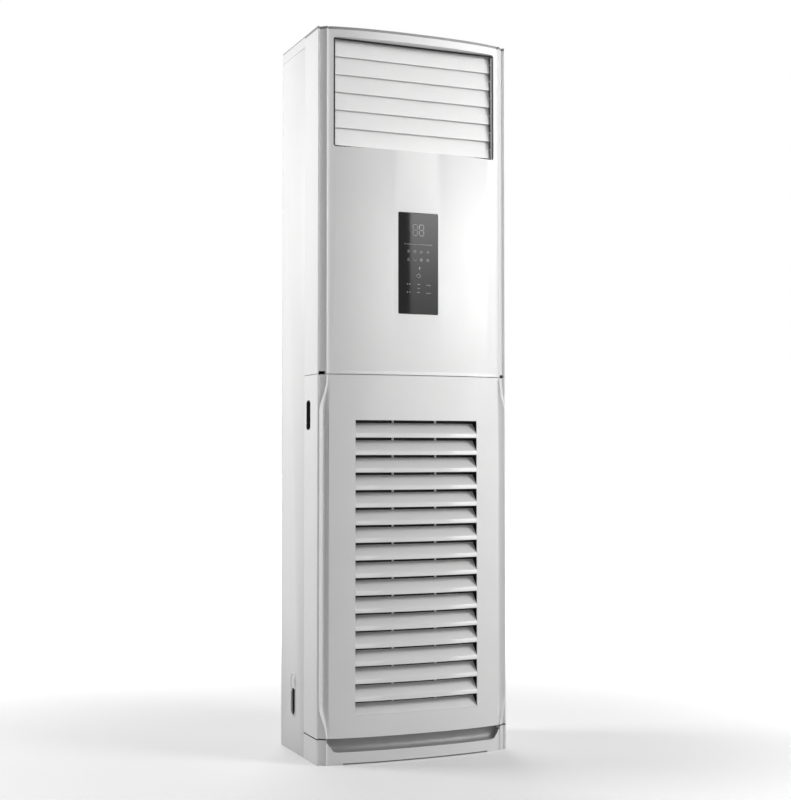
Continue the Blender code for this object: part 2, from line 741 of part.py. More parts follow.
def side_outline():
    """Plan of the right side sheet, with a flange turned in at each end."""
    return [
        (HALF, SIDE_FRONT_Y), (HALF, SHEET_BACK_Y),
        (HALF - FLANGE, SHEET_BACK_Y), (HALF - FLANGE, SHEET_BACK_Y - SHEET),
        (HALF - SHEET, SHEET_BACK_Y - SHEET), (HALF - SHEET, SIDE_FRONT_Y + SHEET),
        (HALF - FLANGE, SIDE_FRONT_Y + SHEET), (HALF - FLANGE, SIDE_FRONT_Y),
    ]


def pipe_outline(shrink):
    """Rounded opening for the pipes, or a piece that fits inside it."""
    radius = (PIPE_BACK - PIPE_FRONT) / 2 - shrink
    return rounded_rectangle(
        setback(PIPE_FRONT) + shrink, setback(PIPE_BACK) - shrink,
        PIPE_BOTTOM + shrink, PIPE_TOP - shrink, radius, PIPE_ARC_STEPS,
    )


def make_sides():
    for name, side in (("left", -1), ("right", 1)):
        outline = [(side * x, y) for x, y in side_outline()]
        mesh = prism_mesh(name + "_side_panel", outline, "Z", 0.0, SIDE_TOP - GAP)
        panel = add_part(name + "_side_panel", mesh, SHEET_WHITE)
        near, far = sorted((side * (HALF - BEYOND), side * (HALF + BEYOND)))
        cut = prism_mesh(name + "_pipe_hole", pipe_outline(0), "X", near, far)
        combine(panel, add_cutter(name + "_pipe_hole", cut))
        near, far = sorted((side * (HALF - PIPE_PLATE), side * HALF))
        mesh = prism_mesh(name + "_pipe_cover", pipe_outline(GAP), "X", near, far)
        plate = add_part(name + "_pipe_cover", mesh, SHEET_WHITE)
        if side < 0:
            open_pipe_cover(plate)


def open_pipe_cover(plate):
    """The left plate has its slot broken out for the pipes."""
    middle = (setback(PIPE_FRONT) + setback(PIPE_BACK)) / 2
    half = PIPE_SLOT_WIDTH / 2
    slot = rounded_rectangle(
        middle - half, middle + half, PIPE_BOTTOM + PIPE_RIM, PIPE_SLOT_TOP, half - GAP, PIPE_ARC_STEPS
    )
    cut = prism_mesh("pipe_slot", slot, "X", -HALF - BEYOND, -HALF + BEYOND)
    combine(plate, add_cutter("pipe_slot", cut))
    edge = middle - half
    slit_low = PIPE_SLOT_TOP + PIPE_SLIT_INSET
    low = (-HALF - BEYOND, edge, slit_low)
    high = (-HALF + BEYOND, edge + PIPE_SLIT_WIDTH, slit_low + PIPE_SLIT_HEIGHT)
    combine(plate, add_cutter("pipe_slit", box_mesh("pipe_slit", low, high)))


def make_back_and_top():
    low = (-HALF, BACK_Y - SHEET, 0.0)
    mesh = box_mesh("back_panel", low, (HALF, BACK_Y, SIDE_TOP - GAP))
    add_part("back_panel", mesh, SHEET_WHITE)
    low = (-HALF, SIDE_FRONT_Y, SIDE_TOP)
    cap = add_part("top_cover", box_mesh("top_cover", low, (HALF, BACK_Y, HEIGHT)), SHEET_WHITE)
    low = (-HALF + SHEET, SIDE_FRONT_Y + SHEET, SIDE_TOP - BEYOND)
    high = (HALF - SHEET, BACK_Y - SHEET, HEIGHT - SHEET)
    combine(cap, add_cutter("top_inside", box_mesh("top_inside", low, high)))


def make_base_pan():
    reach = HALF - COVER_WALL - GAP
    low = (-reach, SIDE_FRONT_Y + SHEET + GAP, 0.0)
    high = (reach, SHEET_BACK_Y - SHEET - GAP, PAN_FLANGE)
    pan = add_part("base_pan", box_mesh("base_pan", low, high), PAN_ZINC)
    low = (low[0] + SHEET, low[1] + SHEET, SHEET)
    high = (high[0] - SHEET, high[1] - SHEET, PAN_FLANGE + BEYOND)
    combine(pan, add_cutter("pan_inside", box_mesh("pan_inside", low, high)))


def make_plinth():
    section = cover_section(BASE_STYLE)
    plinth = add_part(
        "front_plinth", loft_mesh("front_plinth", [(0.0, section), (PLINTH_TOP, section)]), COVER_WHITE
    )
    combine(plinth, add_cutter("scoop", scoop_mesh()))
    pocket = prism_mesh("plinth_pocket", pocket_outline(False), "Z", -BEYOND, SCOOP_BOTTOM - COVER_WALL)
    combine(plinth, add_cutter("plinth_pocket", pocket))
    inner = HALF - COVER_WALL
    low = (-inner, setback(POCKET_SHOULDER) + SCOOP_DEPTH, SCOOP_BOTTOM - BEYOND)
    high = (inner, RETURN_Y + BEYOND, PLINTH_TOP - COVER_WALL)
    combine(plinth, add_cutter("plinth_room", box_mesh("plinth_room", low, high)))
    low = (-FOOT_RELIEF_HALF, -BACK_Y - BEYOND, -BEYOND)
    high = (FOOT_RELIEF_HALF, setback(POCKET_SHOULDER), FOOT_RELIEF)
    combine(plinth, add_cutter("foot_relief", box_mesh("foot_relief", low, high)))


def scoop_mesh():
    """Cutter of the hollow under the lower cover, with round ends."""
    height = PLINTH_TOP + BEYOND - SCOOP_BOTTOM
    outline = [(SCOOP_HALF, SCOOP_BOTTOM + height), (-SCOOP_HALF, SCOOP_BOTTOM + height)]
    for side, first in ((-1, 180), (1, 270)):
        for step in range(ARC_STEPS + 1):
            angle = math.radians(first + 90 * step / ARC_STEPS)
            x = side * (SCOOP_HALF - SCOOP_RADIUS) + SCOOP_RADIUS * math.cos(angle)
            outline.append((x, SCOOP_BOTTOM + SCOOP_RADIUS * (1 + math.sin(angle))))
    bm = prism_bmesh(outline, "Y", APEX_Y - BEYOND, APEX_Y + SCOOP_DEPTH)
    rear = []
    for edge in bm.edges:
        ends = edge.verts
        deep = all(v.co.y > APEX_Y for v in ends)
        if deep and min(v.co.z for v in ends) < SCOOP_BOTTOM + SCOOP_RADIUS:
            rear.append(edge)
    bmesh.ops.bevel(
        bm, geom=rear, offset=SCOOP_COVE, segments=SCOOP_COVE_STEPS, profile=0.5, affect="EDGES",
        material=-1,
    )
    cross_cut(bm, SCOOP_HALF, FACE_STEPS)
    follow_crown(bm)
    return finish_mesh("scoop", bm)


make_plinth()
make_base_pan()
make_sides()
make_back_and_top()
make_upper_cover()
make_lower_cover()
make_louvres()
make_louvre_ribs()
make_filter()
make_finger_pulls()
make_display()
make_duct()
make_blades()
make_vanes()
make_coil()
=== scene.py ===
# %% [markdown]
# # Dressing a floor standing air conditioner
# A tall white cabinet: sheet steel behind, two crowned plastic covers in front,
# a glossy display, shingled outlet blades and a louvred intake.
# The solids come ready from the CAD model. Here each one gets rounded edges,
# a real finish, small parts such as screws and display marks, and studio light.

# %% Load the frame
import math

import bmesh
import bpy
from mathutils import Matrix, Vector


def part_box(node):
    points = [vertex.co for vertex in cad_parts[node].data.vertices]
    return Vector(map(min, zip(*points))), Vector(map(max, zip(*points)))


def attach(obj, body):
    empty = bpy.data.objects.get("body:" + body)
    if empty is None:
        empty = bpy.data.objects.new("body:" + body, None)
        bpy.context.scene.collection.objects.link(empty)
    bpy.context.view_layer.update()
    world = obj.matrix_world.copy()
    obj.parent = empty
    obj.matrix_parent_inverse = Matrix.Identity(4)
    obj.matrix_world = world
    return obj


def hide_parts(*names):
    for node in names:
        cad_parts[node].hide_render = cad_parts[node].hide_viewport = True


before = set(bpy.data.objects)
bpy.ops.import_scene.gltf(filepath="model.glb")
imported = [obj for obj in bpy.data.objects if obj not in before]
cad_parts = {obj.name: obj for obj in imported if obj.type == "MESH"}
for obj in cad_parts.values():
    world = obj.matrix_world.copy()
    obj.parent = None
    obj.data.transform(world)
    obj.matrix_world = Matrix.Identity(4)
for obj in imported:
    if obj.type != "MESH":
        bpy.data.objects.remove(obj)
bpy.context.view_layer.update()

# %% [markdown]
# ## The camera
# The photo was taken from the front left, a little below the middle of the
# cabinet, with a long lens. The camera is set by where it stands, how far it
# is turned to the right and how far it is tipped up. The lens in millimetres
# follows from the focal length in pixels of a 791 pixel wide frame.

# %% Place the camera
CAMERA_AT = (-1.3776, -3.2983, 0.7401)
CAMERA_YAW = math.radians(22.69)
CAMERA_PITCH = math.radians(2.07)
FOCAL_PIXELS = 1417.6
FRAME_WIDTH = 791

camera_data = bpy.data.cameras.new("photo_camera")
camera_data.sensor_fit = "HORIZONTAL"
camera_data.sensor_width = 36.0
camera_data.lens = FOCAL_PIXELS * camera_data.sensor_width / FRAME_WIDTH
camera = bpy.data.objects.new("photo_camera", camera_data)
camera.location = CAMERA_AT
camera.rotation_euler = (math.radians(90) + CAMERA_PITCH, 0.0, -CAMERA_YAW)
bpy.context.scene.collection.objects.link(camera)
bpy.context.scene.camera = camera
print("lens %.1f mm" % camera_data.lens)

# %% [markdown]
# ## A start for every finish
# Each finish starts from the Principled shader and reads Object coordinates,
# so that its grain stays put on the piece and keeps its real size in metres.
# A number that is the same all over is set on the shader's own socket; only
# what changes over the surface, such as grain, comes through nodes.

# %% Helpers for finishes
def new_finish(name, colour, roughness, metallic=0.0, **sockets):
    material = bpy.data.materials.new(name)
    material.use_nodes = True
    shader = material.node_tree.nodes["Principled BSDF"]
    shader.inputs["Base Color"].default_value = (*colour, 1.0)
    shader.inputs["Roughness"].default_value = roughness
    shader.inputs["Metallic"].default_value = metallic
    for socket, value in sockets.items():
        shader.inputs[socket.replace("_", " ")].default_value = value
    return material, shader


def add_node(material, kind, **inputs):
    node = material.node_tree.nodes.new(kind)
    for name, value in inputs.items():
        node.inputs[name].default_value = value
    return node


def join(material, out_socket, in_socket):
    material.node_tree.links.new(out_socket, in_socket)


def coordinates(material):
    return add_node(material, "ShaderNodeTexCoord").outputs["Object"]


def grain(material, scale, detail=2.0, roughness=0.5, distortion=0.0):
    """Noise of this many waves a metre, read from Object coordinates."""
    noise = add_node(
        material, "ShaderNodeTexNoise", Scale=scale, Detail=detail, Roughness=roughness,
        Distortion=distortion,
    )
    join(material, coordinates(material), noise.inputs["Vector"])
    return noise.outputs["Fac"]


def bump(material, shader, height, strength, distance, below=None):
    node = add_node(material, "ShaderNodeBump", Strength=strength, Distance=distance)
    join(material, height, node.inputs["Height"])
    if below is not None:
        join(material, below, node.inputs["Normal"])
    join(material, node.outputs["Normal"], shader.inputs["Normal"])
    return node.outputs["Normal"]


def map_range(material, value, start, end, low, high, interpolation="LINEAR"):
    """Turns a value that runs from start to end into one from low to high."""
    node = add_node(material, "ShaderNodeMapRange")
    node.interpolation_type = interpolation
    node.inputs["From Min"].default_value = start
    node.inputs["From Max"].default_value = end
    node.inputs["To Min"].default_value = low
    node.inputs["To Max"].default_value = high
    join(material, value, node.inputs["Value"])
    return node.outputs["Result"]


# Noise seldom leaves the first range, and the second one gives the colours a
# slightly harder border.
NOISE_LOW, NOISE_HIGH = 0.3, 0.7
TINT_LOW, TINT_HIGH = 0.35, 0.65


def spread(material, shader, factor, low, high):
    """Lets the roughness wander between two values with a 0 to 1 factor."""
    result = map_range(material, factor, NOISE_LOW, NOISE_HIGH, low, high)
    join(material, result, shader.inputs["Roughness"])


def tint(material, shader, factor, dark, light):
    """Lets the colour wander between two near tones with a 0 to 1 factor."""
    ramp = add_node(material, "ShaderNodeValToRGB")
    ramp.color_ramp.elements[0].color = (*dark, 1.0)
    ramp.color_ramp.elements[1].color = (*light, 1.0)
    ramp.color_ramp.elements[0].position = TINT_LOW
    ramp.color_ramp.elements[1].position = TINT_HIGH
    join(material, factor, ramp.inputs["Fac"])
    join(material, ramp.outputs["Color"], shader.inputs["Base Color"])


# %% [markdown]
# ## White moulded covers
# The front covers are white ABS with a satin shine. A polished mould still
# leaves a very faint ripple, so a wide soft noise bends the reflections a
# little and a fine one breaks up the shine. The colour wanders by about two
# hundredths. The blades are more matt and a shade whiter, partly as painted
# light, so that the shaded gaps between them stay pale.

# %% White plastic
COVER_WHITE, shader = new_finish("cover_white_plastic", (0.86, 0.86, 0.855), 0.48)
tint(COVER_WHITE, shader, grain(COVER_WHITE, 9.0, 3.0), (0.852, 0.853, 0.85), (0.872, 0.872, 0.868))
spread(COVER_WHITE, shader, grain(COVER_WHITE, 160.0, 3.0), 0.45, 0.52)
ripple = bump(COVER_WHITE, shader, grain(COVER_WHITE, 22.0, 2.0), 0.05, 0.002)
bump(COVER_WHITE, shader, grain(COVER_WHITE, 900.0, 2.0), 0.03, 0.0004, ripple)

# Whiter than the covers partly as painted light, to keep the shaded gaps pale.
BLADE_WHITE_PAINTED_BRIGHT, shader = new_finish("blade_white_plastic", (0.95, 0.95, 0.945), 0.5)
tint(BLADE_WHITE_PAINTED_BRIGHT, shader, grain(BLADE_WHITE_PAINTED_BRIGHT, 14.0, 2.0), (0.945, 0.945, 0.94), (0.96, 0.96, 0.955))
spread(BLADE_WHITE_PAINTED_BRIGHT, shader, grain(BLADE_WHITE_PAINTED_BRIGHT, 210.0, 3.0), 0.46, 0.54)
bump(BLADE_WHITE_PAINTED_BRIGHT, shader, grain(BLADE_WHITE_PAINTED_BRIGHT, 1100.0, 2.0), 0.03, 0.0003)

# %% [markdown]
# ## Powder coated sheet steel
# Powder coat melts into a skin with a fine orange peel, one to two millimetres
# wide. Two noises of different size give it, and the roughness follows a third.

# %% Powder coat
SHEET_WHITE, shader = new_finish("sheet_white_powder_coat", (0.84, 0.84, 0.835), 0.42)
tint(SHEET_WHITE, shader, grain(SHEET_WHITE, 7.0, 3.0), (0.832, 0.833, 0.83), (0.85, 0.85, 0.846))
spread(SHEET_WHITE, shader, grain(SHEET_WHITE, 320.0, 2.0), 0.36, 0.48)
peel = bump(SHEET_WHITE, shader, grain(SHEET_WHITE, 520.0, 2.0), 0.10, 0.0005)
bump(SHEET_WHITE, shader, grain(SHEET_WHITE, 1500.0, 1.0), 0.05, 0.0002, peel)

# %% [markdown]
# ## Grey top trim
# A grey strip round the top plate paints the shade line along the top edge of
# the covers. It is matt, with a fine grain.

# %% Top trim painted as shade
# The trim's grey paints the shade line along the top edge.
TOP_SHADE_GREY, shader = new_finish("top_trim_painted_shade", (0.34, 0.34, 0.34), 0.7)
tint(TOP_SHADE_GREY, shader, grain(TOP_SHADE_GREY, 60.0, 3.0), (0.32, 0.32, 0.32), (0.36, 0.36, 0.36))
bump(TOP_SHADE_GREY, shader, grain(TOP_SHADE_GREY, 1600.0, 2.0), 0.3, 0.0003)

# %% [markdown]
# ## Dark and grey plastics
# The display is a clear glossy sheet printed black on its back, so it is nearly
# black with a hard shine, and its marks are a dull grey ink. The finger pulls
# and the duct are matt. The scoop in the plinth is a matt grey that paints the
# shade in that hollow. The black seal strips are matt and paint the shadow in
# the slits round the outlet and over the plinth.

# %% Blacks and greys
DISPLAY_BLACK, shader = new_finish(
    "display_gloss_black", (0.006, 0.006, 0.007), 0.06, IOR=1.49, Specular_IOR_Level=0.23,
)
spread(DISPLAY_BLACK, shader, grain(DISPLAY_BLACK, 60.0, 4.0), 0.05, 0.08)
bump(DISPLAY_BLACK, shader, grain(DISPLAY_BLACK, 30.0, 1.0), 0.02, 0.001)

MARK_GREY, shader = new_finish("display_mark_grey", (0.20, 0.20, 0.205), 0.4)
tint(MARK_GREY, shader, grain(MARK_GREY, 2500.0, 1.0), (0.17, 0.17, 0.175), (0.24, 0.24, 0.245))

PULL_BLACK, shader = new_finish("pull_matt_black", (0.018, 0.018, 0.018), 0.55)
spread(PULL_BLACK, shader, grain(PULL_BLACK, 400.0, 2.0), 0.48, 0.62)
bump(PULL_BLACK, shader, grain(PULL_BLACK, 1300.0, 3.0), 0.25, 0.0003)

# The scoop's grey is painted shade in the hollow.
SCOOP_PAINTED_SHADE, shader = new_finish("scoop_grey_painted_shade", (0.40, 0.40, 0.40), 0.5)
tint(SCOOP_PAINTED_SHADE, shader, grain(SCOOP_PAINTED_SHADE, 40.0, 3.0), (0.385, 0.385, 0.385), (0.415, 0.415, 0.415))
bump(SCOOP_PAINTED_SHADE, shader, grain(SCOOP_PAINTED_SHADE, 900.0, 2.0), 0.08, 0.0004)

DUCT_GREY, shader = new_finish("duct_pale_grey", (0.55, 0.55, 0.555), 0.6)
tint(DUCT_GREY, shader, grain(DUCT_GREY, 30.0, 4.0), (0.52, 0.52, 0.525), (0.58, 0.58, 0.585))
bump(DUCT_GREY, shader, grain(DUCT_GREY, 700.0, 3.0), 0.3, 0.0006)

# Black strips in the slits paint the shadow that lies there.
SEAL_PAINTED_SHADOW, shader = new_finish("seal_painted_shadow_black", (0.012, 0.012, 0.012), 0.85)
bump(SEAL_PAINTED_SHADOW, shader, grain(SEAL_PAINTED_SHADOW, 1800.0, 3.0), 0.5, 0.0005)

# %% [markdown]
# ## Filter mesh, fins and zinc
# The filter is a woven nylon net: two wave textures across each other give the
# threads, and the holes between them are painted near black as shade. The coil
# is a stack of thin aluminium fins, 1.6 mm apart, which one wave texture along
# X draws as grooves, with the gaps between the fins painted dark as shade.
# Galvanised steel shows its zinc crystals, which Voronoi cells imitate.

# %% Woven net, fin stack and galvanised steel
NET_PITCH, FIN_PITCH = 0.0018, 0.0016


def waves(material, direction, pitch):
    """Bands across an axis, with this distance from crest to crest in metres."""
    # At a scale of one the texture makes twenty waves in two pi metres.
    scale = 2 * math.pi / (20 * pitch)
    node = add_node(material, "ShaderNodeTexWave", Scale=scale, Distortion=0.0)
    node.wave_type = "BANDS"
    node.bands_direction = direction
    join(material, coordinates(material), node.inputs["Vector"])
    return node.outputs["Fac"]


def greater(material, a, b):
    node = add_node(material, "ShaderNodeMath")
    node.operation = "MAXIMUM"
    join(material, a, node.inputs[0])
    join(material, b, node.inputs[1])
    return node.outputs["Value"]


FILTER_NET, shader = new_finish("filter_net_grey", (0.03, 0.03, 0.032), 0.75)
threads = greater(FILTER_NET, waves(FILTER_NET, "X", NET_PITCH), waves(FILTER_NET, "Z", NET_PITCH))
# The near black of the holes is painted shade behind the net.
tint(FILTER_NET, shader, threads, (0.002, 0.002, 0.002), (0.045, 0.045, 0.048))
bump(FILTER_NET, shader, threads, 0.6, 0.0005)

COIL_FINS, shader = new_finish("coil_aluminium_fins", (0.72, 0.73, 0.74), 0.35, 1.0)
fins = waves(COIL_FINS, "X", FIN_PITCH)
# The dark bands paint the shade in the gaps between the fins.
tint(COIL_FINS, shader, fins, (0.05, 0.05, 0.052), (0.78, 0.79, 0.8))
bump(COIL_FINS, shader, fins, 0.8, 0.0008)

PAN_ZINC, shader = new_finish("pan_galvanised", (0.55, 0.56, 0.57), 0.4, 1.0)
cells = add_node(PAN_ZINC, "ShaderNodeTexVoronoi", Scale=90.0)
join(PAN_ZINC, coordinates(PAN_ZINC), cells.inputs["Vector"])
cell_grey = add_node(PAN_ZINC, "ShaderNodeRGBToBW")
join(PAN_ZINC, cells.outputs["Color"], cell_grey.inputs["Color"])
tint(PAN_ZINC, shader, cell_grey.outputs["Val"], (0.46, 0.47, 0.48), (0.62, 0.63, 0.64))
spread(PAN_ZINC, shader, cell_grey.outputs["Val"], 0.3, 0.5)

SCREW_STEEL, shader = new_finish("screw_zinc_plate", (0.62, 0.62, 0.63), 0.32, 1.0)
spread(SCREW_STEEL, shader, grain(SCREW_STEEL, 900.0, 2.0), 0.24, 0.42)
print("finishes:", len(bpy.data.materials))

# %% [markdown]
# ## Rounded copies of the CAD solids
# A CAD solid arrives as loose triangles with knife-sharp edges. A copy is
# merged, its flat triangles are dissolved into whole faces, and its sharp edges
# get a small bevel: real mouldings never end in a perfect edge, and the light
# catches that tiny radius. The copy then stands for its CAD node.

# %% Helpers that copy and round
MERGE_DISTANCE = 0.00002
FLAT_ANGLE, SHARP_ANGLE = math.radians(0.3), math.radians(60)


def merged_copy(node):
    """A bmesh of this CAD node, with its loose triangles joined to faces."""
    bm = bmesh.new()
    bm.from_mesh(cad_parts[node].data)
    bmesh.ops.remove_doubles(bm, verts=bm.verts, dist=MERGE_DISTANCE)
    bmesh.ops.dissolve_limit(bm, angle_limit=FLAT_ANGLE, verts=bm.verts, edges=bm.edges)
    return bm


def sharp_edges(bm, keep=lambda edge: True):
    return [
        edge for edge in bm.edges
        if len(edge.link_faces) == 2 and edge.calc_face_angle(0.0) > SHARP_ANGLE and keep(edge)
    ]


def round_edges(bm, edges, radius, segments=2):
    bmesh.ops.bevel(
        bm, geom=edges, offset=radius, offset_type="OFFSET", affect="EDGES", segments=segments,
        profile=0.5, material=-1, clamp_overlap=True,
    )


def add_box(bm, size, middle):
    verts = bmesh.ops.create_cube(bm, size=1.0)["verts"]
    bmesh.ops.scale(bm, verts=verts, vec=size)
    bmesh.ops.translate(bm, verts=verts, vec=middle)
    return verts


def new_object(name, bm):
    """Turns a bmesh into an object of the scene."""
    mesh = bpy.data.meshes.new(name)
    bm.to_mesh(mesh)
    bm.free()
    thing = bpy.data.objects.new(name, mesh)
    bpy.context.scene.collection.objects.link(thing)
    return thing


def add_piece(name, bm, finish, body="cabinet", nodes=(), smooth_below=32.0):
    """Makes the object, shades it, and ties it to its body and CAD nodes."""
    piece = new_object(name, bm)
    piece.data.shade_smooth()
    piece.data.set_sharp_from_angle(angle=math.radians(smooth_below))
    piece.data.materials.append(finish)
    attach(piece, body)
    if nodes:
        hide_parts(*nodes)
    return piece


def weigh_normals(piece):
    """Big faces keep their flat shine and small ones round off beside them."""
    modifier = piece.modifiers.new("weighted_normals", "WEIGHTED_NORMAL")
    modifier.keep_sharp = True
    modifier.weight = 80


# %% [markdown]
# ## Flutes of the front covers
# The upper and lower covers are single mouldings with a crowned face and a
# flute down each side, whose inner ridge sweeps out to the corner beside the
# intake. The solid's flute is shallow. Here its floor becomes a ramp that rises
# to the ridge, and the face beside the ridge gets a small hollow. The points of
# the mesh are moved row by row, and less where the ridge has swept out.

# %% Flutes
SEAM_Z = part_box("lower_front_cover")[1][2]
COVER_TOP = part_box("upper_front_cover")[1][2]
COVER_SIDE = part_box("upper_front_cover")[1][0]
PLINTH_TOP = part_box("front_plinth")[1][2]
CORNER_Y = -0.1212

# Each row: place on the solid's floor from lip (0) to ridge (1), the place
# that it moves to, and how deep it then lies behind the corner.
FLUTE = (
    (0.0, -0.070, 0.0002), (0.13, -0.015, 0.0016), (0.30, 0.060, 0.0042), (0.58, 0.140, 0.0064),
)
# The ramp's last point keeps its place and climbs this share of the way up.
RAMP_PLACE, RAMP_CLIMB = 0.88, 0.835
# Distances in from the cover's side, and how much further in the ridge's foot
# lies where the ridge hasn't swept out.
LIP_IN, RIDGE_IN, RIDGE_SWEPT, FACE_IN = 0.0035, 0.0232, 0.0044, 0.0265
FOOT_IN, FOOT_FURTHER = 0.0232, 0.0008
# Moves sideways (shift) and back (drop) of the ridge, its foot and the face.
RIDGE_SHIFT, FOOT_SHIFT, FACE_SHIFT = -0.0026, 0.0006, 0.0045
FOOT_DROP, FOOT_DROP_SWEPT, FACE_DROP = 0.0024, 0.0012, -0.00115
# The band that holds a flute's points. Then the furthest in that a ridge lies,
# how far forward it has to stand, and its depth where a row shows none.
BAND_IN, BAND_DEPTH = (0.0033, FACE_IN + 0.0003), (-0.0082, 0.0060)
RIDGE_LIMIT, RIDGE_LEAST, RIDGE_DEPTH = 0.0235, -0.0024, -0.0075
# A point this close to the ridge belongs to the ridge.
SAME_PLACE = 0.00005


def between(stops, place):
    """Reads rows of (place, value, value) at a place, on straight lines."""
    pairs = zip(stops, stops[1:])
    low, high = next((a, b) for a, b in pairs if place <= b[0] + MERGE_DISTANCE or b is stops[-1])
    mix = (place - low[0]) / (high[0] - low[0])
    return [low[i] + (high[i] - low[i]) * mix for i in (1, 2)]


def flute_rows(bm):
    """The points of both flutes by side and height, each as depth, inset and vertex."""
    rows = {}
    for vert in bm.verts:
        inset = COVER_SIDE - abs(vert.co.x)
        depth = vert.co.y - CORNER_Y
        if BAND_IN[0] < inset < BAND_IN[1] and BAND_DEPTH[0] < depth < BAND_DEPTH[1]:
            rows.setdefault((vert.co.x > 0, round(vert.co.z, 4)), []).append((depth, inset, vert))
    return rows.values()


def flute_stops(ridge_depth, ridge_in, share):
    """Rows of old inset, new inset and depth up to the ridge, and past it with the drop."""
    new_ridge = ridge_in + RIDGE_SHIFT * share
    span, new_span = ridge_in - LIP_IN, new_ridge - LIP_IN
    outer = [(LIP_IN + old * span, LIP_IN + new * new_span, share * deep) for old, new, deep in FLUTE]
    floor = outer[-1][2]
    climbed = floor + (ridge_depth - floor) * RAMP_CLIMB
    outer.append((LIP_IN + RAMP_PLACE * span, LIP_IN + RAMP_PLACE * new_span, climbed))
    outer.append((ridge_in, new_ridge, ridge_depth))
    foot_in = FOOT_IN + FOOT_FURTHER * share
    foot_drop = FOOT_DROP * share + FOOT_DROP_SWEPT * (1 - share)
    inner = [
        (ridge_in, new_ridge, 0.0),
        (foot_in, foot_in + FOOT_SHIFT * share, foot_drop),
        (FACE_IN, FACE_IN + FACE_SHIFT * share, FACE_DROP * share),
    ]
    return outer, inner


def deepen_flutes(bm):
    """Ramps the floor of both flutes up to the ridge and hollows the face beside it."""
    for row in flute_rows(bm):
        outside = [(depth, inset) for depth, inset, _ in row if inset < RIDGE_LIMIT]
        ridge_depth, ridge_in = min(outside, default=(0.0, 0.0))
        if ridge_depth > RIDGE_LEAST:
            ridge_depth, ridge_in = RIDGE_DEPTH, RIDGE_IN
        share = (ridge_in - RIDGE_SWEPT) / (RIDGE_IN - RIDGE_SWEPT)
        outer, inner = flute_stops(ridge_depth, ridge_in, share)
        for depth, inset, vert in row:
            if inset < ridge_in - SAME_PLACE:
                moved, wanted = between(outer, inset)
                vert.co.y += (wanted - depth) * share
            else:
                moved, drop = between(inner, inset)
                vert.co.y += drop
            vert.co.x = math.copysign(COVER_SIDE - moved, vert.co.x)


# %% [markdown]
# ## Seam, rims and scoop
# The covers are curved in plan only, so their long upright facets just need
# smooth shading. Where the face ends at the top, at the seam and at the plinth,
# a rounding of about a millimetre catches the light. The upper cover flares out
# by less than three millimetres where it meets the lower one: cutting the mesh
# at a few heights and pulling those rings forward draws the bright line that
# runs across the front there. The hollow along the plinth's top is painted
# grey as shade.

# %% Front covers and plinth
RIM_REACH, LEVEL_REACH = 0.0005, 0.0002
# A face whose normal has this much along an axis looks straight along it, and
# one with less than the second number along Z is a wall.
FACING, UPRIGHT = 0.9, 0.5
# A rim is on the outside if its wall looks away from a point this far behind
# the origin, or to the front by at least the last number.
INSIDE_Y, AWAY, FRONTWARD = 0.06, 0.05, 0.3
# Height above the seam and how far the face stands out there, down to the
# seam's own edge. The flare fades over the last stretch before the face ends.
FLARE = ((0.0100, 0.0), (0.0074, 0.0007), (0.0048, 0.0018), (0.0024, 0.0027))
FLARE_LOWEST = (0.0003, 0.0027)
FACE_EDGE, FLARE_FADE = 0.2191, 0.012
# The crowned face: its foremost point, how far it falls back at its ends, half
# its width, and how the fall is shared by the square and the fourth power.
APEX_Y, CROWN, FACE_HALF = -0.1482, 0.0201, 0.2235
CROWN_SQUARE, CROWN_FOURTH = 0.55, 0.45
# The scoop's half width, lowest height, distance under the plinth's top, how
# far behind the face it lies, and how little its faces look to the rear.
SCOOP_HALF, SCOOP_LOW, SCOOP_RIM = 0.2262, 0.015, 0.0016
SCOOP_DEPTH, SCOOP_REARWARD = (0.0006, 0.0275), 0.3


def at_height(edge, height):
    return all(abs(vert.co.z - height) < RIM_REACH for vert in edge.verts)


def on_outside(edge):
    """True on the outline of the front and side faces, not on inner walls."""
    middle = (edge.verts[0].co + edge.verts[1].co) / 2
    walls = [face.normal for face in edge.link_faces if abs(face.normal.z) < UPRIGHT]
    ahead = Vector((middle.x, middle.y - INSIDE_Y, 0.0)).normalized()
    return bool(walls) and (walls[0].dot(ahead) > AWAY or walls[0].y < -FRONTWARD)


def flare_out(bm):
    """Pulls the front face forward towards the cover's lower edge."""
    for rise, _ in FLARE:
        everything = bm.verts[:] + bm.edges[:] + bm.faces[:]
        bmesh.ops.bisect_plane(bm, geom=everything, plane_co=(0, 0, SEAM_Z + rise), plane_no=(0, 0, 1))
    front = {
        vert for face in bm.faces if face.normal.y < -FACING
        for vert in face.verts if max(abs(v.co.x) for v in face.verts) < FACE_EDGE
    }
    for vert in front:
        taper = min(1.0, (FACE_EDGE - abs(vert.co.x)) / FLARE_FADE)
        for rise, proud in FLARE + (FLARE_LOWEST,):
            if abs(vert.co.z - SEAM_Z - rise) < LEVEL_REACH:
                vert.co.y -= proud * max(taper, 0.0)


def shift_rim(bm, height, rise):
    """Moves a whole rim up or down, to widen the seam beside it."""
    for vert in bm.verts:
        if abs(vert.co.z - height) < LEVEL_REACH:
            vert.co.z += rise


def crown_y(x):
    """Where the crowned front face lies at this distance from the middle."""
    share = (x / FACE_HALF) ** 2
    return APEX_Y + CROWN * share * (CROWN_SQUARE + CROWN_FOURTH * share)


def in_scoop(face):
    """True on a face of the hollow along the plinth's top, which is painted grey as shade."""
    middle = face.calc_center_median()
    lowest = min(vert.co.z for vert in face.verts)
    behind = middle.y - crown_y(middle.x)
    within = abs(middle.x) < SCOOP_HALF and lowest > SCOOP_LOW and middle.z < PLINTH_TOP - SCOOP_RIM
    return within and SCOOP_DEPTH[0] < behind < SCOOP_DEPTH[1] and face.normal.y < SCOOP_REARWARD


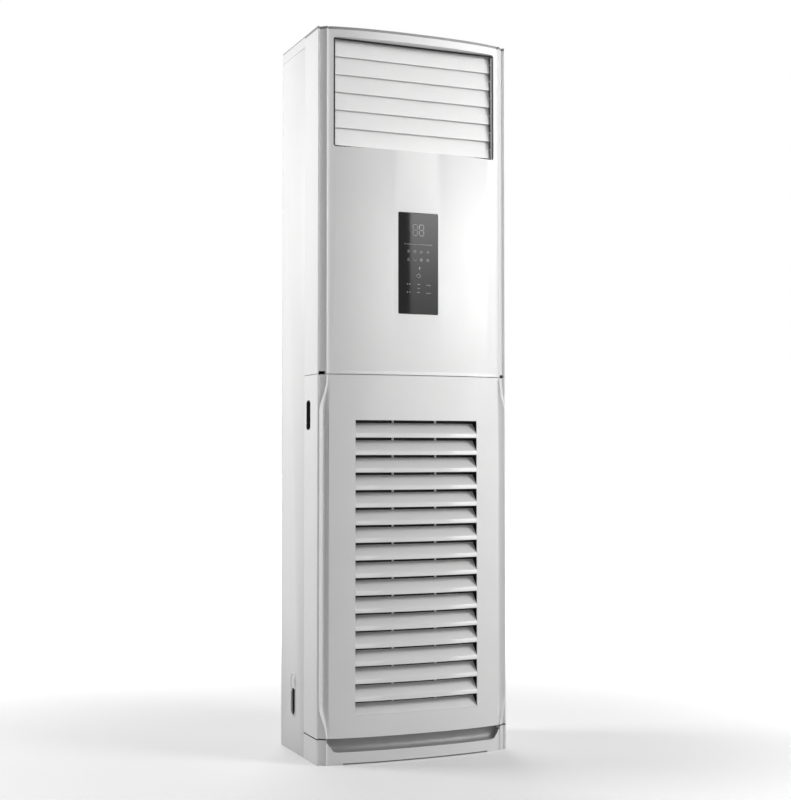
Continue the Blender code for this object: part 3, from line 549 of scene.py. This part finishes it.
# Rim height, how far it moves, and its rounding.
RIMS = {
    "upper_front_cover": ((COVER_TOP, 0.0, 0.0006), (SEAM_Z + 0.0003, 0.0, 0.0008)),
    "lower_front_cover": ((SEAM_Z, -0.0007, 0.0012), (PLINTH_TOP + 0.0003, 0.0013, 0.0008)),
    "front_plinth": ((PLINTH_TOP, -0.0011, 0.0008),),
}
for node, rims in RIMS.items():
    cover = merged_copy(node)
    deepen_flutes(cover)
    bmesh.ops.recalc_face_normals(cover, faces=cover.faces)
    if node == "upper_front_cover":
        flare_out(cover)
    for height, rise, radius in rims:
        shift_rim(cover, height, rise)
        edges = sharp_edges(cover, lambda edge: at_height(edge, height + rise) and on_outside(edge))
        round_edges(cover, edges, radius, segments=3)
        print(node, "rim at %.3f" % height, len(edges), "edges")
    finishes = [COVER_WHITE]
    if node == "front_plinth":
        # The hollow's faces get the grey that paints its shade.
        finishes.append(SCOOP_PAINTED_SHADE)
        scoop = [face for face in cover.faces if in_scoop(face)]
        for face in scoop:
            face.material_index = 1
        print("scoop faces", len(scoop))
    piece = add_piece("dressed_" + node, cover, finishes[0], nodes=[node])
    for finish in finishes[1:]:
        piece.data.materials.append(finish)
    weigh_normals(piece)

# %% [markdown]
# ## Top trim and joint strip
# A thin grey strip along the joint between the upper cover and the top plate
# paints the shade line at the top edge. It follows the front face, the flutes
# and the returns, so its path is taken from the lid of the upper cover and
# given a small rectangular section. Two straight lines run on along the sides
# of the top plate. The same sweep lays a black strip behind the open joint
# over the plinth, which paints the shadow in that joint.

# %% Top trim and joint strip, painted as shade
# Heights of the trim and of the joint's shadow strip, and how far out of or in
# from the covers' outline they reach.
TRIM_LOW, TRIM_HIGH = COVER_TOP - 0.0058, COVER_TOP + 0.0004
TRIM_OUT, TRIM_IN = 0.0003, 0.0008
JOINT_STRIP_LOW, JOINT_STRIP_HIGH = PLINTH_TOP - 0.0014, PLINTH_TOP + 0.0019
JOINT_STRIP_NEAR, JOINT_STRIP_FAR = 0.0003, 0.0012
LINE_HEIGHT = 0.0022
# A point of the outline this close to its rearmost one is at the rear.
REAR_REACH = 0.0003


def top_outline(node, height):
    """Corner points of a cover's lid, in order round its outline from the rear."""
    bm = merged_copy(node)
    deepen_flutes(bm)
    lids = [
        face for face in bm.faces
        if face.normal.z > FACING and abs(face.calc_center_median().z - height) < RIM_REACH
    ]
    outline = [vert.co.copy() for vert in max(lids, key=lambda face: face.calc_area()).verts]
    bm.free()
    rear = max(co.y for co in outline)
    at_rear = [abs(co.y - rear) < REAR_REACH for co in outline]
    start = next(i for i, here in enumerate(at_rear) if here and not at_rear[(i + 1) % len(outline)])
    return outline[start:] + outline[:start]


def sweep_strip(bm, path, near, far, low, high):
    """Sweeps a rectangle, given by how far in and how high it lies, along a level path."""
    section = ((near, low), (near, high), (far, high), (far, low))
    rings = []
    for i, point in enumerate(path):
        ahead = (path[min(i + 1, len(path) - 1)] - point).normalized()
        behind = (point - path[max(i - 1, 0)]).normalized()
        along = (ahead + behind).normalized()
        inward = Vector((-along.y, along.x, 0.0))
        rings.append([
            bm.verts.new((point.x + inward.x * away, point.y + inward.y * away, z))
            for away, z in section
        ])
    for ring_a, ring_b in zip(rings, rings[1:]):
        for i in range(len(section)):
            j = (i + 1) % len(section)
            bm.faces.new((ring_a[i], ring_a[j], ring_b[j], ring_b[i]))
    bm.faces.new(rings[0][::-1])
    bm.faces.new(rings[-1])
    bmesh.ops.recalc_face_normals(bm, faces=bm.faces)


trim = bmesh.new()
trim_path = top_outline("upper_front_cover", COVER_TOP)
sweep_strip(trim, trim_path, -TRIM_OUT, TRIM_IN, TRIM_LOW, TRIM_HIGH)
cap_low, cap_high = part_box("top_cover")
line_size = (TRIM_OUT + TRIM_IN, cap_high[1] - cap_low[1], LINE_HEIGHT)
line_x = cap_high[0] + (TRIM_OUT - TRIM_IN) / 2
for side in (-1, 1):
    add_box(trim, line_size, (side * line_x, (cap_high[1] + cap_low[1]) / 2, TRIM_HIGH - LINE_HEIGHT / 2))
# The grey strip paints the shade line along the top edge.
add_piece("top_trim", trim, TOP_SHADE_GREY)
print("trim path", len(trim_path), "points from", [round(c, 3) for c in trim_path[0]])

joint = bmesh.new()
joint_path = top_outline("front_plinth", PLINTH_TOP)
sweep_strip(joint, joint_path, JOINT_STRIP_NEAR, JOINT_STRIP_FAR, JOINT_STRIP_LOW, JOINT_STRIP_HIGH)
# This black strip paints the shadow in the joint over the plinth.
add_piece("plinth_joint_shadow_strip", joint, SEAL_PAINTED_SHADOW)
print("joint path", len(joint_path), "points from", [round(c, 3) for c in joint_path[0]])

# %% [markdown]
# ## Intake louvres
# Seventeen slats slope up and back behind a strip that lies in the crowned
# face. Each is a copy of its solid, shaded smooth along the crown.

# %% Louvres and ribs
for number in range(1, 18):
    node = "intake_louvre_%02d" % number
    add_piece("dressed_" + node, merged_copy(node), COVER_WHITE, nodes=[node])
for side in ("left", "right"):
    node = side + "_louvre_rib"
    add_piece("dressed_" + node, merged_copy(node), COVER_WHITE, nodes=[node])

# %% [markdown]
# ## Sheet metal cabinet
# Side panels, back and top are folded steel. A fold's outer radius is about the
# sheet's thickness, so their long edges are rounded by 0.7 mm. The pipe covers
# are flat sheet, and the finger pulls are black mouldings in the side.

# %% Sheet metal
FOLD_RADIUS, LONG_EDGE = 0.0007, 0.03

for node in ("left_side_panel", "right_side_panel", "back_panel", "top_cover"):
    panel = merged_copy(node)
    round_edges(panel, sharp_edges(panel, lambda edge: edge.calc_length() > LONG_EDGE), FOLD_RADIUS)
    add_piece("dressed_" + node, panel, SHEET_WHITE, nodes=[node])

for side in ("left", "right"):
    node = side + "_pipe_cover"
    add_piece("dressed_" + node, merged_copy(node), SHEET_WHITE, nodes=[node])
    node = side + "_finger_pull"
    add_piece("dressed_" + node, merged_copy(node), PULL_BLACK, nodes=[node])

# %% [markdown]
# ## Pipe opening bezel
# A thin raised rim runs round the pipe slot and the cable slit above it. A box
# bevelled by nearly half its width gives the long round shape; insetting both
# of its faces and bridging the two holes leaves a closed ring.

# %% Pipe bezels
# The bezel's corners on the side (Y, Z), then its rim's width, how far it
# stands proud, and how much of its ends isn't rounded.
BEZEL_LOW, BEZEL_HIGH = (0.0337, 0.0862), (0.0717, 0.1925)
BEZEL_RIM, BEZEL_PROUD, BEZEL_FLAT = 0.0030, 0.0016, 0.0004
BEZEL_ARC_STEPS = 8


def bezel(bm, x):
    width, height = BEZEL_HIGH[0] - BEZEL_LOW[0], BEZEL_HIGH[1] - BEZEL_LOW[1]
    middle = (x, (BEZEL_LOW[0] + BEZEL_HIGH[0]) / 2, (BEZEL_LOW[1] + BEZEL_HIGH[1]) / 2)
    add_box(bm, (2 * BEZEL_PROUD, width, height), middle)
    across = [edge for edge in bm.edges if abs(edge.verts[0].co.x - edge.verts[1].co.x) > BEZEL_PROUD]
    round_edges(bm, across, width / 2 - BEZEL_FLAT, BEZEL_ARC_STEPS)
    caps = sorted(bm.faces, key=lambda face: face.calc_area())[-2:]
    bmesh.ops.inset_individual(bm, faces=caps, thickness=BEZEL_RIM)
    bmesh.ops.delete(bm, geom=caps, context="FACES_ONLY")
    bmesh.ops.bridge_loops(bm, edges=[edge for edge in bm.edges if edge.is_boundary])
    bmesh.ops.recalc_face_normals(bm, faces=bm.faces)


side_low, side_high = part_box("left_side_panel")[0][0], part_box("right_side_panel")[1][0]
for side, x in (("left", side_low), ("right", side_high)):
    rim = bmesh.new()
    bezel(rim, x)
    print(side, "bezel faces", len(rim.faces), "open edges", sum(edge.is_boundary for edge in rim.edges))
    add_piece(side + "_pipe_bezel", rim, SHEET_WHITE)

# %% [markdown]
# ## Screws
# Screws hold the back panel along its sides and its top. Each head is a short
# cone with a round drive hole sunk in its face.

# %% Screws
# The head's two radii and its height, how far its middle stands off the panel,
# the rim round its drive hole and the hole's depth.
HEAD_FOOT, HEAD_TOP, HEAD_HEIGHT, HEAD_LIFT = 0.0042, 0.0036, 0.0016, 0.0007
DRIVE_RIM, DRIVE_DEPTH = 0.0018, 0.0009
# Distance from the panel's edges, heights along the sides, places along the top.
SCREW_IN = 0.012
SIDE_SCREWS = (0.09, 0.50, 0.92, 1.34, 1.71)
TOP_SCREWS = (-0.14, 0.0, 0.14)


def screw(bm, x, y, z):
    """A screw's head on a face that looks along +Y."""
    head = bmesh.ops.create_cone(
        bm, cap_ends=True, segments=20, radius1=HEAD_FOOT, radius2=HEAD_TOP, depth=HEAD_HEIGHT,
    )["verts"]
    bmesh.ops.rotate(bm, verts=head, matrix=Matrix.Rotation(math.radians(-90), 3, "X"))
    bmesh.ops.translate(bm, verts=head, vec=(x, y + HEAD_LIFT, z))
    sides = {face for vert in head for face in vert.link_faces}
    cap = max(sides, key=lambda face: face.calc_center_median().y)
    bmesh.ops.inset_region(bm, faces=[cap], thickness=DRIVE_RIM)
    bmesh.ops.translate(bm, verts=cap.verts[:], vec=(0, -DRIVE_DEPTH, 0))


back_low, back_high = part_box("back_panel")
screws = bmesh.new()
for z in SIDE_SCREWS:
    for x in (back_low[0] + SCREW_IN, back_high[0] - SCREW_IN):
        screw(screws, x, back_high[1], z)
for x in TOP_SCREWS:
    screw(screws, x, back_high[1], back_high[2] - SCREW_IN)
add_piece("back_screws", screws, SCREW_STEEL)
print("back panel face at y %.4f" % back_high[1])

# %% [markdown]
# ## What shows inside
# The duct, vanes, coil, tray, filter and base pan keep their CAD shape and get
# a finish.

# %% Finishes on CAD nodes
INNER_FINISHES = {
    "outlet_duct": DUCT_GREY, "drain_tray": DUCT_GREY, "outlet_vanes": BLADE_WHITE_PAINTED_BRIGHT,
    "evaporator_coil": COIL_FINS, "air_filter": FILTER_NET, "base_pan": PAN_ZINC,
}
for node, finish in INNER_FINISHES.items():
    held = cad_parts[node]
    held.data.materials.clear()
    held.data.materials.append(finish)

# %% [markdown]
# ## Outlet blades
# Six lens-shaped blades overlap like shingles. Each rides on its own body, so
# that it turns with its joint.

# %% Blades
for number in range(1, 7):
    node = "outlet_blade_%d" % number
    body = "blade_%d" % number
    add_piece("dressed_" + node, merged_copy(node), BLADE_WHITE_PAINTED_BRIGHT, body=body, nodes=[node])

# %% [markdown]
# ## Outlet seal
# Black strips paint the shadow line round the outlet: one in the slit between
# the cover and the duct above the top blade, and a thin one down each side.
# They stand on the duct's rim. On the right a white cheek fills what is left
# between strip and blades.

# %% Seal strips, painted as shadow
RIM_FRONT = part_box("outlet_duct")[0][1]
STRIP_FRONT, STRIP_REAR = RIM_FRONT - 0.0005, RIM_FRONT + 0.0002
STRIP_RADIUS = 0.0004
# Only edges longer than this are rounded.
STRIP_LONG = 0.1
# The top strip reaches this far to each side, between these two heights.
TOP_HALF, TOP_LOW, TOP_HIGH = 0.2135, 1.7311, 1.7359
# The side strips and the cheek: from X, to X and front, and their heights.
SIDE_STRIPS = ((-0.2138, -0.2096, -0.1290), (0.2120, 0.2138, -0.1262))
CHEEK = (0.2093, 0.2119, -0.1248)
OUTLET_LOW, SIDE_HIGH, CHEEK_HIGH = 1.4716, 1.7330, 1.7306


def seal_strip(bm, low, high):
    """A box between two corners, with one of its long edges rounded."""
    low, high = Vector(low), Vector(high)
    verts = add_box(bm, high - low, (high + low) / 2)
    edges = [edge for edge in bm.edges if edge.calc_length() > STRIP_LONG and verts[0] in edge.verts]
    round_edges(bm, edges, STRIP_RADIUS)


seal = bmesh.new()
seal_strip(seal, (-TOP_HALF, STRIP_FRONT, TOP_LOW), (TOP_HALF, STRIP_REAR, TOP_HIGH))
for near, far, front in SIDE_STRIPS:
    seal_strip(seal, (near, front, OUTLET_LOW), (far, STRIP_REAR, SIDE_HIGH))
# These black strips paint the shadow line round the outlet.
add_piece("outlet_shadow_seal", seal, SEAL_PAINTED_SHADOW)

near, far, front = CHEEK
cheek = bmesh.new()
seal_strip(cheek, (near, front, OUTLET_LOW), (far, STRIP_REAR, CHEEK_HIGH))
add_piece("outlet_cheek", cheek, BLADE_WHITE_PAINTED_BRIGHT)

# %% [markdown]
# ## Display
# The display is bent along an upright crease, so its two halves mirror
# different parts of the room.

# %% Display sheet
DISPLAY_RADIUS = 0.0006
# How close to the sheet's end, and how far behind its crease, a point may lie
# to count as its front edge.
EDGE_REACH, FRONT_REACH = 0.0002, 0.005

low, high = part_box("display_panel")
DISPLAY_HALF = (high[0] - low[0]) / 2
sheet = merged_copy("display_panel")
round_edges(sheet, sharp_edges(sheet), DISPLAY_RADIUS)
add_piece(
    "dressed_display_panel", sheet, DISPLAY_BLACK, nodes=["display_panel"],
    smooth_below=20,
)
crease_y = low[1]
edge_y = max(
    vert.co.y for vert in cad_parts["display_panel"].data.vertices
    if abs(abs(vert.co.x) - DISPLAY_HALF) < EDGE_REACH and vert.co.y < crease_y + FRONT_REACH
)
print("display crease %.4f edge %.4f half %.4f" % (crease_y, edge_y, DISPLAY_HALF))

# %% [markdown]
# ## Display marks
# The marks are printed in grey: two digits of seven bars, a dashed line, two
# rows of small signs, the power sign and the touch keys below it. They are made
# flat, cut at the crease and laid just in front of the bent sheet.

# %% Helpers for marks
MARK_LIFT = 0.00012
DIGIT_WIDTH, DIGIT_HEIGHT, SEGMENT = 0.0115, 0.0270, 0.0019
SEGMENT_GAP = SEGMENT * 1.4


def on_display(bm):
    """Cuts flat marks at the crease and lays them on the bent sheet."""
    everything = bm.verts[:] + bm.edges[:] + bm.faces[:]
    bmesh.ops.bisect_plane(bm, geom=everything, plane_co=(0, 0, 0), plane_no=(1, 0, 0))
    for vert in bm.verts:
        share = abs(vert.co.x) / DISPLAY_HALF
        vert.co.y = crease_y + (edge_y - crease_y) * share - MARK_LIFT


def lay(bm, verts, x, z, angle=0.0):
    """Moves a flat mark, made at the origin in the XY plane, to its place."""
    bmesh.ops.rotate(bm, verts=verts, matrix=Matrix.Rotation(angle, 3, "Z"))
    bmesh.ops.rotate(bm, verts=verts, matrix=Matrix.Rotation(math.radians(90), 3, "X"))
    bmesh.ops.translate(bm, verts=verts, vec=(x, 0.0, z))


def bar(bm, x, z, width, height, angle=0.0):
    verts = bmesh.ops.create_grid(bm, x_segments=1, y_segments=1, size=0.5)["verts"]
    bmesh.ops.scale(bm, verts=verts, vec=(width, height, 1.0))
    lay(bm, verts, x, z, angle)


def disc(bm, x, z, radius, sides=16):
    verts = bmesh.ops.create_circle(bm, cap_ends=True, segments=sides, radius=radius)["verts"]
    lay(bm, verts, x, z)


def ring(bm, x, z, radius, width, sides=20, share=1.0, start=0.0):
    """A ring, or an arc of it, made of short bars end to end."""
    length = 2 * (radius + width / 2) * math.tan(math.pi / sides)
    for step in range(round(sides * share)):
        angle = start + 2 * math.pi * (step + 0.5) / sides
        at_x, at_z = x + radius * math.cos(angle), z + radius * math.sin(angle)
        bar(bm, at_x, at_z, length, width, angle + math.pi / 2)


def digit(bm, x, z):
    """An eight of seven bars."""
    across, upright = DIGIT_WIDTH - SEGMENT_GAP, DIGIT_HEIGHT / 2 - SEGMENT_GAP
    for row in (-1, 0, 1):
        bar(bm, x, z + row * DIGIT_HEIGHT / 2, across, SEGMENT)
    for side in (-1, 1):
        for row in (-1, 1):
            bar(bm, x + side * DIGIT_WIDTH / 2, z + row * DIGIT_HEIGHT / 4, SEGMENT, upright)


def star(bm, x, z):
    """Three crossed bars."""
    for turn in range(3):
        bar(bm, x, z, width=0.0082, height=0.0009, angle=turn * math.pi / 3)


def target(bm, x, z):
    """A dot in a ring."""
    disc(bm, x, z, radius=0.0016)
    ring(bm, x, z, radius=0.0034, width=0.0008)


def stack(bm, x, z):
    """Three level bars, the longest one lowest."""
    for turn in range(3):
        bar(bm, x, z + (turn - 1) * 0.0026, width=0.0076 - turn * 0.0016, height=0.0011)


def arc(bm, x, z):
    """Three quarters of a ring."""
    ring(bm, x, z, radius=0.0032, width=0.0009, share=0.75, start=math.radians(135))


def power_sign(bm, x, z):
    """An open ring with an upright bar in its gap."""
    ring(bm, x, z, radius=0.0048, width=0.0012, share=0.85, start=math.radians(117))
    bar(bm, x, z + 0.0039, width=0.0012, height=0.0046)


def arrow_key(bm, x, z):
    """A small triangle beside a bar."""
    disc(bm, x - 0.0022, z, radius=0.0022, sides=3)
    bar(bm, x + 0.0042, z, width=0.0050, height=0.0017)


# %% [markdown]
# The digits stand at the top. Below them come the dashes, the signs in four
# columns and two rows, a small bar, the power sign and the keys.

# %% Display marks
DIGIT_X, DIGIT_Z = 0.0083, 1.2782
DASHES, DASH_FIRST, DASH_STEP, DASH_Z = 12, -0.0345, 0.0063, 1.2433
# The four columns of the signs and their two rows.
COLUMN_A, COLUMN_B, COLUMN_C, COLUMN_D = -0.0259, -0.0092, 0.0073, 0.0251
ROW_HIGH, ROW_LOW = 1.2257, 1.2061
SMALL_BAR_X, SMALL_BAR_Z = 0.0028, 1.1853
POWER_X, POWER_Z = 0.0, 1.1666
# Each key's place. The arrows at the right stand a millimetre lower.
ARROW_KEYS = ((-0.0270, 1.1458), (-0.0270, 1.1262), (0.0251, 1.1448), (0.0251, 1.1252))
BAR_KEYS = ((0.0001, 1.1458), (0.0001, 1.1360), (0.0001, 1.1262))

marks = bmesh.new()
for x in (-DIGIT_X, DIGIT_X):
    digit(marks, x, DIGIT_Z)
for step in range(DASHES):
    bar(marks, DASH_FIRST + step * DASH_STEP, DASH_Z, width=0.0042, height=0.0016)
for column in (COLUMN_A, COLUMN_D):
    star(marks, column, ROW_HIGH)
    stack(marks, column, ROW_LOW)
target(marks, COLUMN_B, ROW_HIGH)
stack(marks, COLUMN_C, ROW_HIGH)
arc(marks, COLUMN_B, ROW_LOW)
target(marks, COLUMN_C, ROW_LOW)
bar(marks, SMALL_BAR_X, SMALL_BAR_Z, width=0.0028, height=0.0058)
power_sign(marks, POWER_X, POWER_Z)
for x, z in ARROW_KEYS:
    arrow_key(marks, x, z)
for x, z in BAR_KEYS:
    bar(marks, x, z, width=0.0070, height=0.0018)
on_display(marks)
bmesh.ops.recalc_face_normals(marks, faces=marks.faces)
for face in marks.faces:
    if face.normal.y > 0:
        face.normal_flip()
add_piece("display_marks", marks, MARK_GREY)

# %% [markdown]
# ## Floor
# The floor is a plain pale sheet. It is paler to the camera than to the lamps'
# light, and it glows more the further it lies from the cabinet, so that it runs
# into the white room without an edge.

# %% Floor
FLOOR_SIZE, FLOOR_Z = 40.0, -0.0005
FLOOR_LIT, FLOOR_SEEN = 0.50, 0.92
# The glow beside the cabinet, and the distances between which it grows to one.
GLOW_NEAR, GLOW_FROM, GLOW_TO = 0.06, 0.5, 2.6


def plain_rays(owner):
    """One for rays from the camera, a mirror or glass, and zero for all others."""
    rays = add_node(owner, "ShaderNodeLightPath").outputs
    seen = greater(owner, rays["Is Camera Ray"], rays["Is Glossy Ray"])
    return greater(owner, seen, rays["Is Transmission Ray"])


floor_bm = bmesh.new()
bmesh.ops.create_grid(floor_bm, x_segments=1, y_segments=1, size=FLOOR_SIZE)
bmesh.ops.translate(floor_bm, verts=floor_bm.verts, vec=(0, 0, FLOOR_Z))
floor = new_object("studio_floor", floor_bm)

lit, shown = (FLOOR_LIT, FLOOR_LIT, FLOOR_LIT), (FLOOR_SEEN, FLOOR_SEEN, FLOOR_SEEN)
FLOOR_PALE, shader = new_finish("floor_pale", lit, 0.75, Specular_IOR_Level=0.2)
paint = add_node(FLOOR_PALE, "ShaderNodeMix")
paint.data_type = "RGBA"
paint.inputs["A"].default_value = (*lit, 1.0)
paint.inputs["B"].default_value = (*shown, 1.0)
rays = add_node(FLOOR_PALE, "ShaderNodeLightPath")
join(FLOOR_PALE, rays.outputs["Is Camera Ray"], paint.inputs["Factor"])
join(FLOOR_PALE, paint.outputs["Result"], shader.inputs["Base Color"])
far = add_node(FLOOR_PALE, "ShaderNodeVectorMath")
far.operation = "LENGTH"
join(FLOOR_PALE, coordinates(FLOOR_PALE), far.inputs[0])
fade = map_range(FLOOR_PALE, far.outputs["Value"], GLOW_FROM, GLOW_TO, GLOW_NEAR, 1.0, "SMOOTHSTEP")
lift = add_node(FLOOR_PALE, "ShaderNodeMath")
lift.operation = "MULTIPLY"
join(FLOOR_PALE, plain_rays(FLOOR_PALE), lift.inputs[0])
join(FLOOR_PALE, fade, lift.inputs[1])
glow = add_node(FLOOR_PALE, "ShaderNodeEmission", Color=(1, 1, 1, 1))
join(FLOOR_PALE, lift.outputs["Value"], glow.inputs["Strength"])
total = add_node(FLOOR_PALE, "ShaderNodeAddShader")
join(FLOOR_PALE, shader.outputs["BSDF"], total.inputs[0])
join(FLOOR_PALE, glow.outputs["Emission"], total.inputs[1])
output = FLOOR_PALE.node_tree.nodes["Material Output"]
join(FLOOR_PALE, total.outputs["Shader"], output.inputs["Surface"])
floor.data.materials.append(FLOOR_PALE)

# %% [markdown]
# ## White room
# To the camera, and in mirrors and glass, the world is plain white. Everything
# else gets a softer grey light from it.

# %% World
ROOM_LIGHT = 0.355

world = bpy.data.worlds.new("white_room")
bpy.context.scene.world = world
world.use_nodes = True
world.node_tree.nodes.clear()
soft = add_node(world, "ShaderNodeBackground", Color=(1, 1, 1, 1), Strength=ROOM_LIGHT)
white = add_node(world, "ShaderNodeBackground", Color=(1, 1, 1, 1), Strength=1.0)
blend = add_node(world, "ShaderNodeMixShader")
join(world, plain_rays(world), blend.inputs["Fac"])
join(world, soft.outputs["Background"], blend.inputs[1])
join(world, white.outputs["Background"], blend.inputs[2])
sky = add_node(world, "ShaderNodeOutputWorld")
join(world, blend.outputs["Shader"], sky.inputs["Surface"])

# %% [markdown]
# ## Lamps
# The key lamp stands to the right of the camera and lights the front. One at
# the left rear, with its beam narrowed, lights the side. One behind lights the
# back.

# %% Lamps
def softbox(name, place, aim, size, watts, height=None):
    data = bpy.data.lights.new(name, "AREA")
    data.shape = "RECTANGLE"
    data.size = size
    data.size_y = height or size
    data.energy = watts
    lamp = bpy.data.objects.new(name, data)
    lamp.location = place
    turn = (Vector(aim) - Vector(place)).to_track_quat("-Z", "Y")
    lamp.rotation_euler = turn.to_euler()
    bpy.context.scene.collection.objects.link(lamp)
    return lamp


left = softbox("left_softbox", place=(-2.15, 1.15, 1.9), aim=(-0.25, 0, 1.2), size=1.0, watts=11.3)
left.data.spread = math.radians(90)
softbox("back_softbox", place=(0.6, 3.0, 2.2), aim=(0, 0.1, 0.8), size=1.8, watts=32.0)
softbox("key_softbox", place=(1.80, -1.88, 1.82), aim=(0, 0, 1.25), size=0.9, watts=31.2, height=1.1)

# %% [markdown]
# ## Reflector
# What the glossy face mirrors is a tall pale card to the right of the camera,
# brightest at its top and fading towards the floor. It only shows in gloss.

# %% Reflector card
CARD_RADIUS, CARD_STEPS = 3.6, 12
CARD_FROM, CARD_TO = math.radians(20), math.radians(64)
CARD_LOW, CARD_HIGH = -0.4, 3.4
# The card's strength grows from the first to the second between two heights.
CARD_DIM, CARD_BRIGHT = 3.2, 11.6
CARD_DIM_Z, CARD_BRIGHT_Z = 1.35, 2.1

card_bm = bmesh.new()
card_x, card_y = CARD_RADIUS * math.sin(CARD_FROM), -CARD_RADIUS * math.cos(CARD_FROM)
ends = [card_bm.verts.new((card_x, card_y, z)) for z in (CARD_LOW, CARD_HIGH)]
rail = card_bm.edges.new(ends)
bmesh.ops.spin(
    card_bm, geom=ends + [rail], cent=(0, 0, 0), axis=(0, 0, 1), angle=CARD_TO - CARD_FROM,
    steps=CARD_STEPS,
)
card = new_object("reflector_card", card_bm)
card.visible_camera = False
card.visible_diffuse = False
card.visible_shadow = False
card.visible_transmission = False
card.visible_volume_scatter = False

CARD_GLOW = bpy.data.materials.new("reflector_glow")
CARD_GLOW.use_nodes = True
CARD_GLOW.node_tree.nodes.clear()
axes = add_node(CARD_GLOW, "ShaderNodeSeparateXYZ")
join(CARD_GLOW, coordinates(CARD_GLOW), axes.inputs[0])
strength = map_range(
    CARD_GLOW, axes.outputs["Z"], CARD_DIM_Z, CARD_BRIGHT_Z, CARD_DIM, CARD_BRIGHT, "SMOOTHSTEP",
)
shine = add_node(CARD_GLOW, "ShaderNodeEmission", Color=(1, 1, 1, 1))
join(CARD_GLOW, strength, shine.inputs["Strength"])
result = add_node(CARD_GLOW, "ShaderNodeOutputMaterial")
join(CARD_GLOW, shine.outputs["Emission"], result.inputs["Surface"])
card.data.materials.append(CARD_GLOW)
print("reflector", [round(v, 2) for v in card.dimensions])

# %% [markdown]
# ## View settings and the last step
# Standard view keeps the written colours.

# %% Finish
bpy.context.scene.view_settings.view_transform = "Standard"
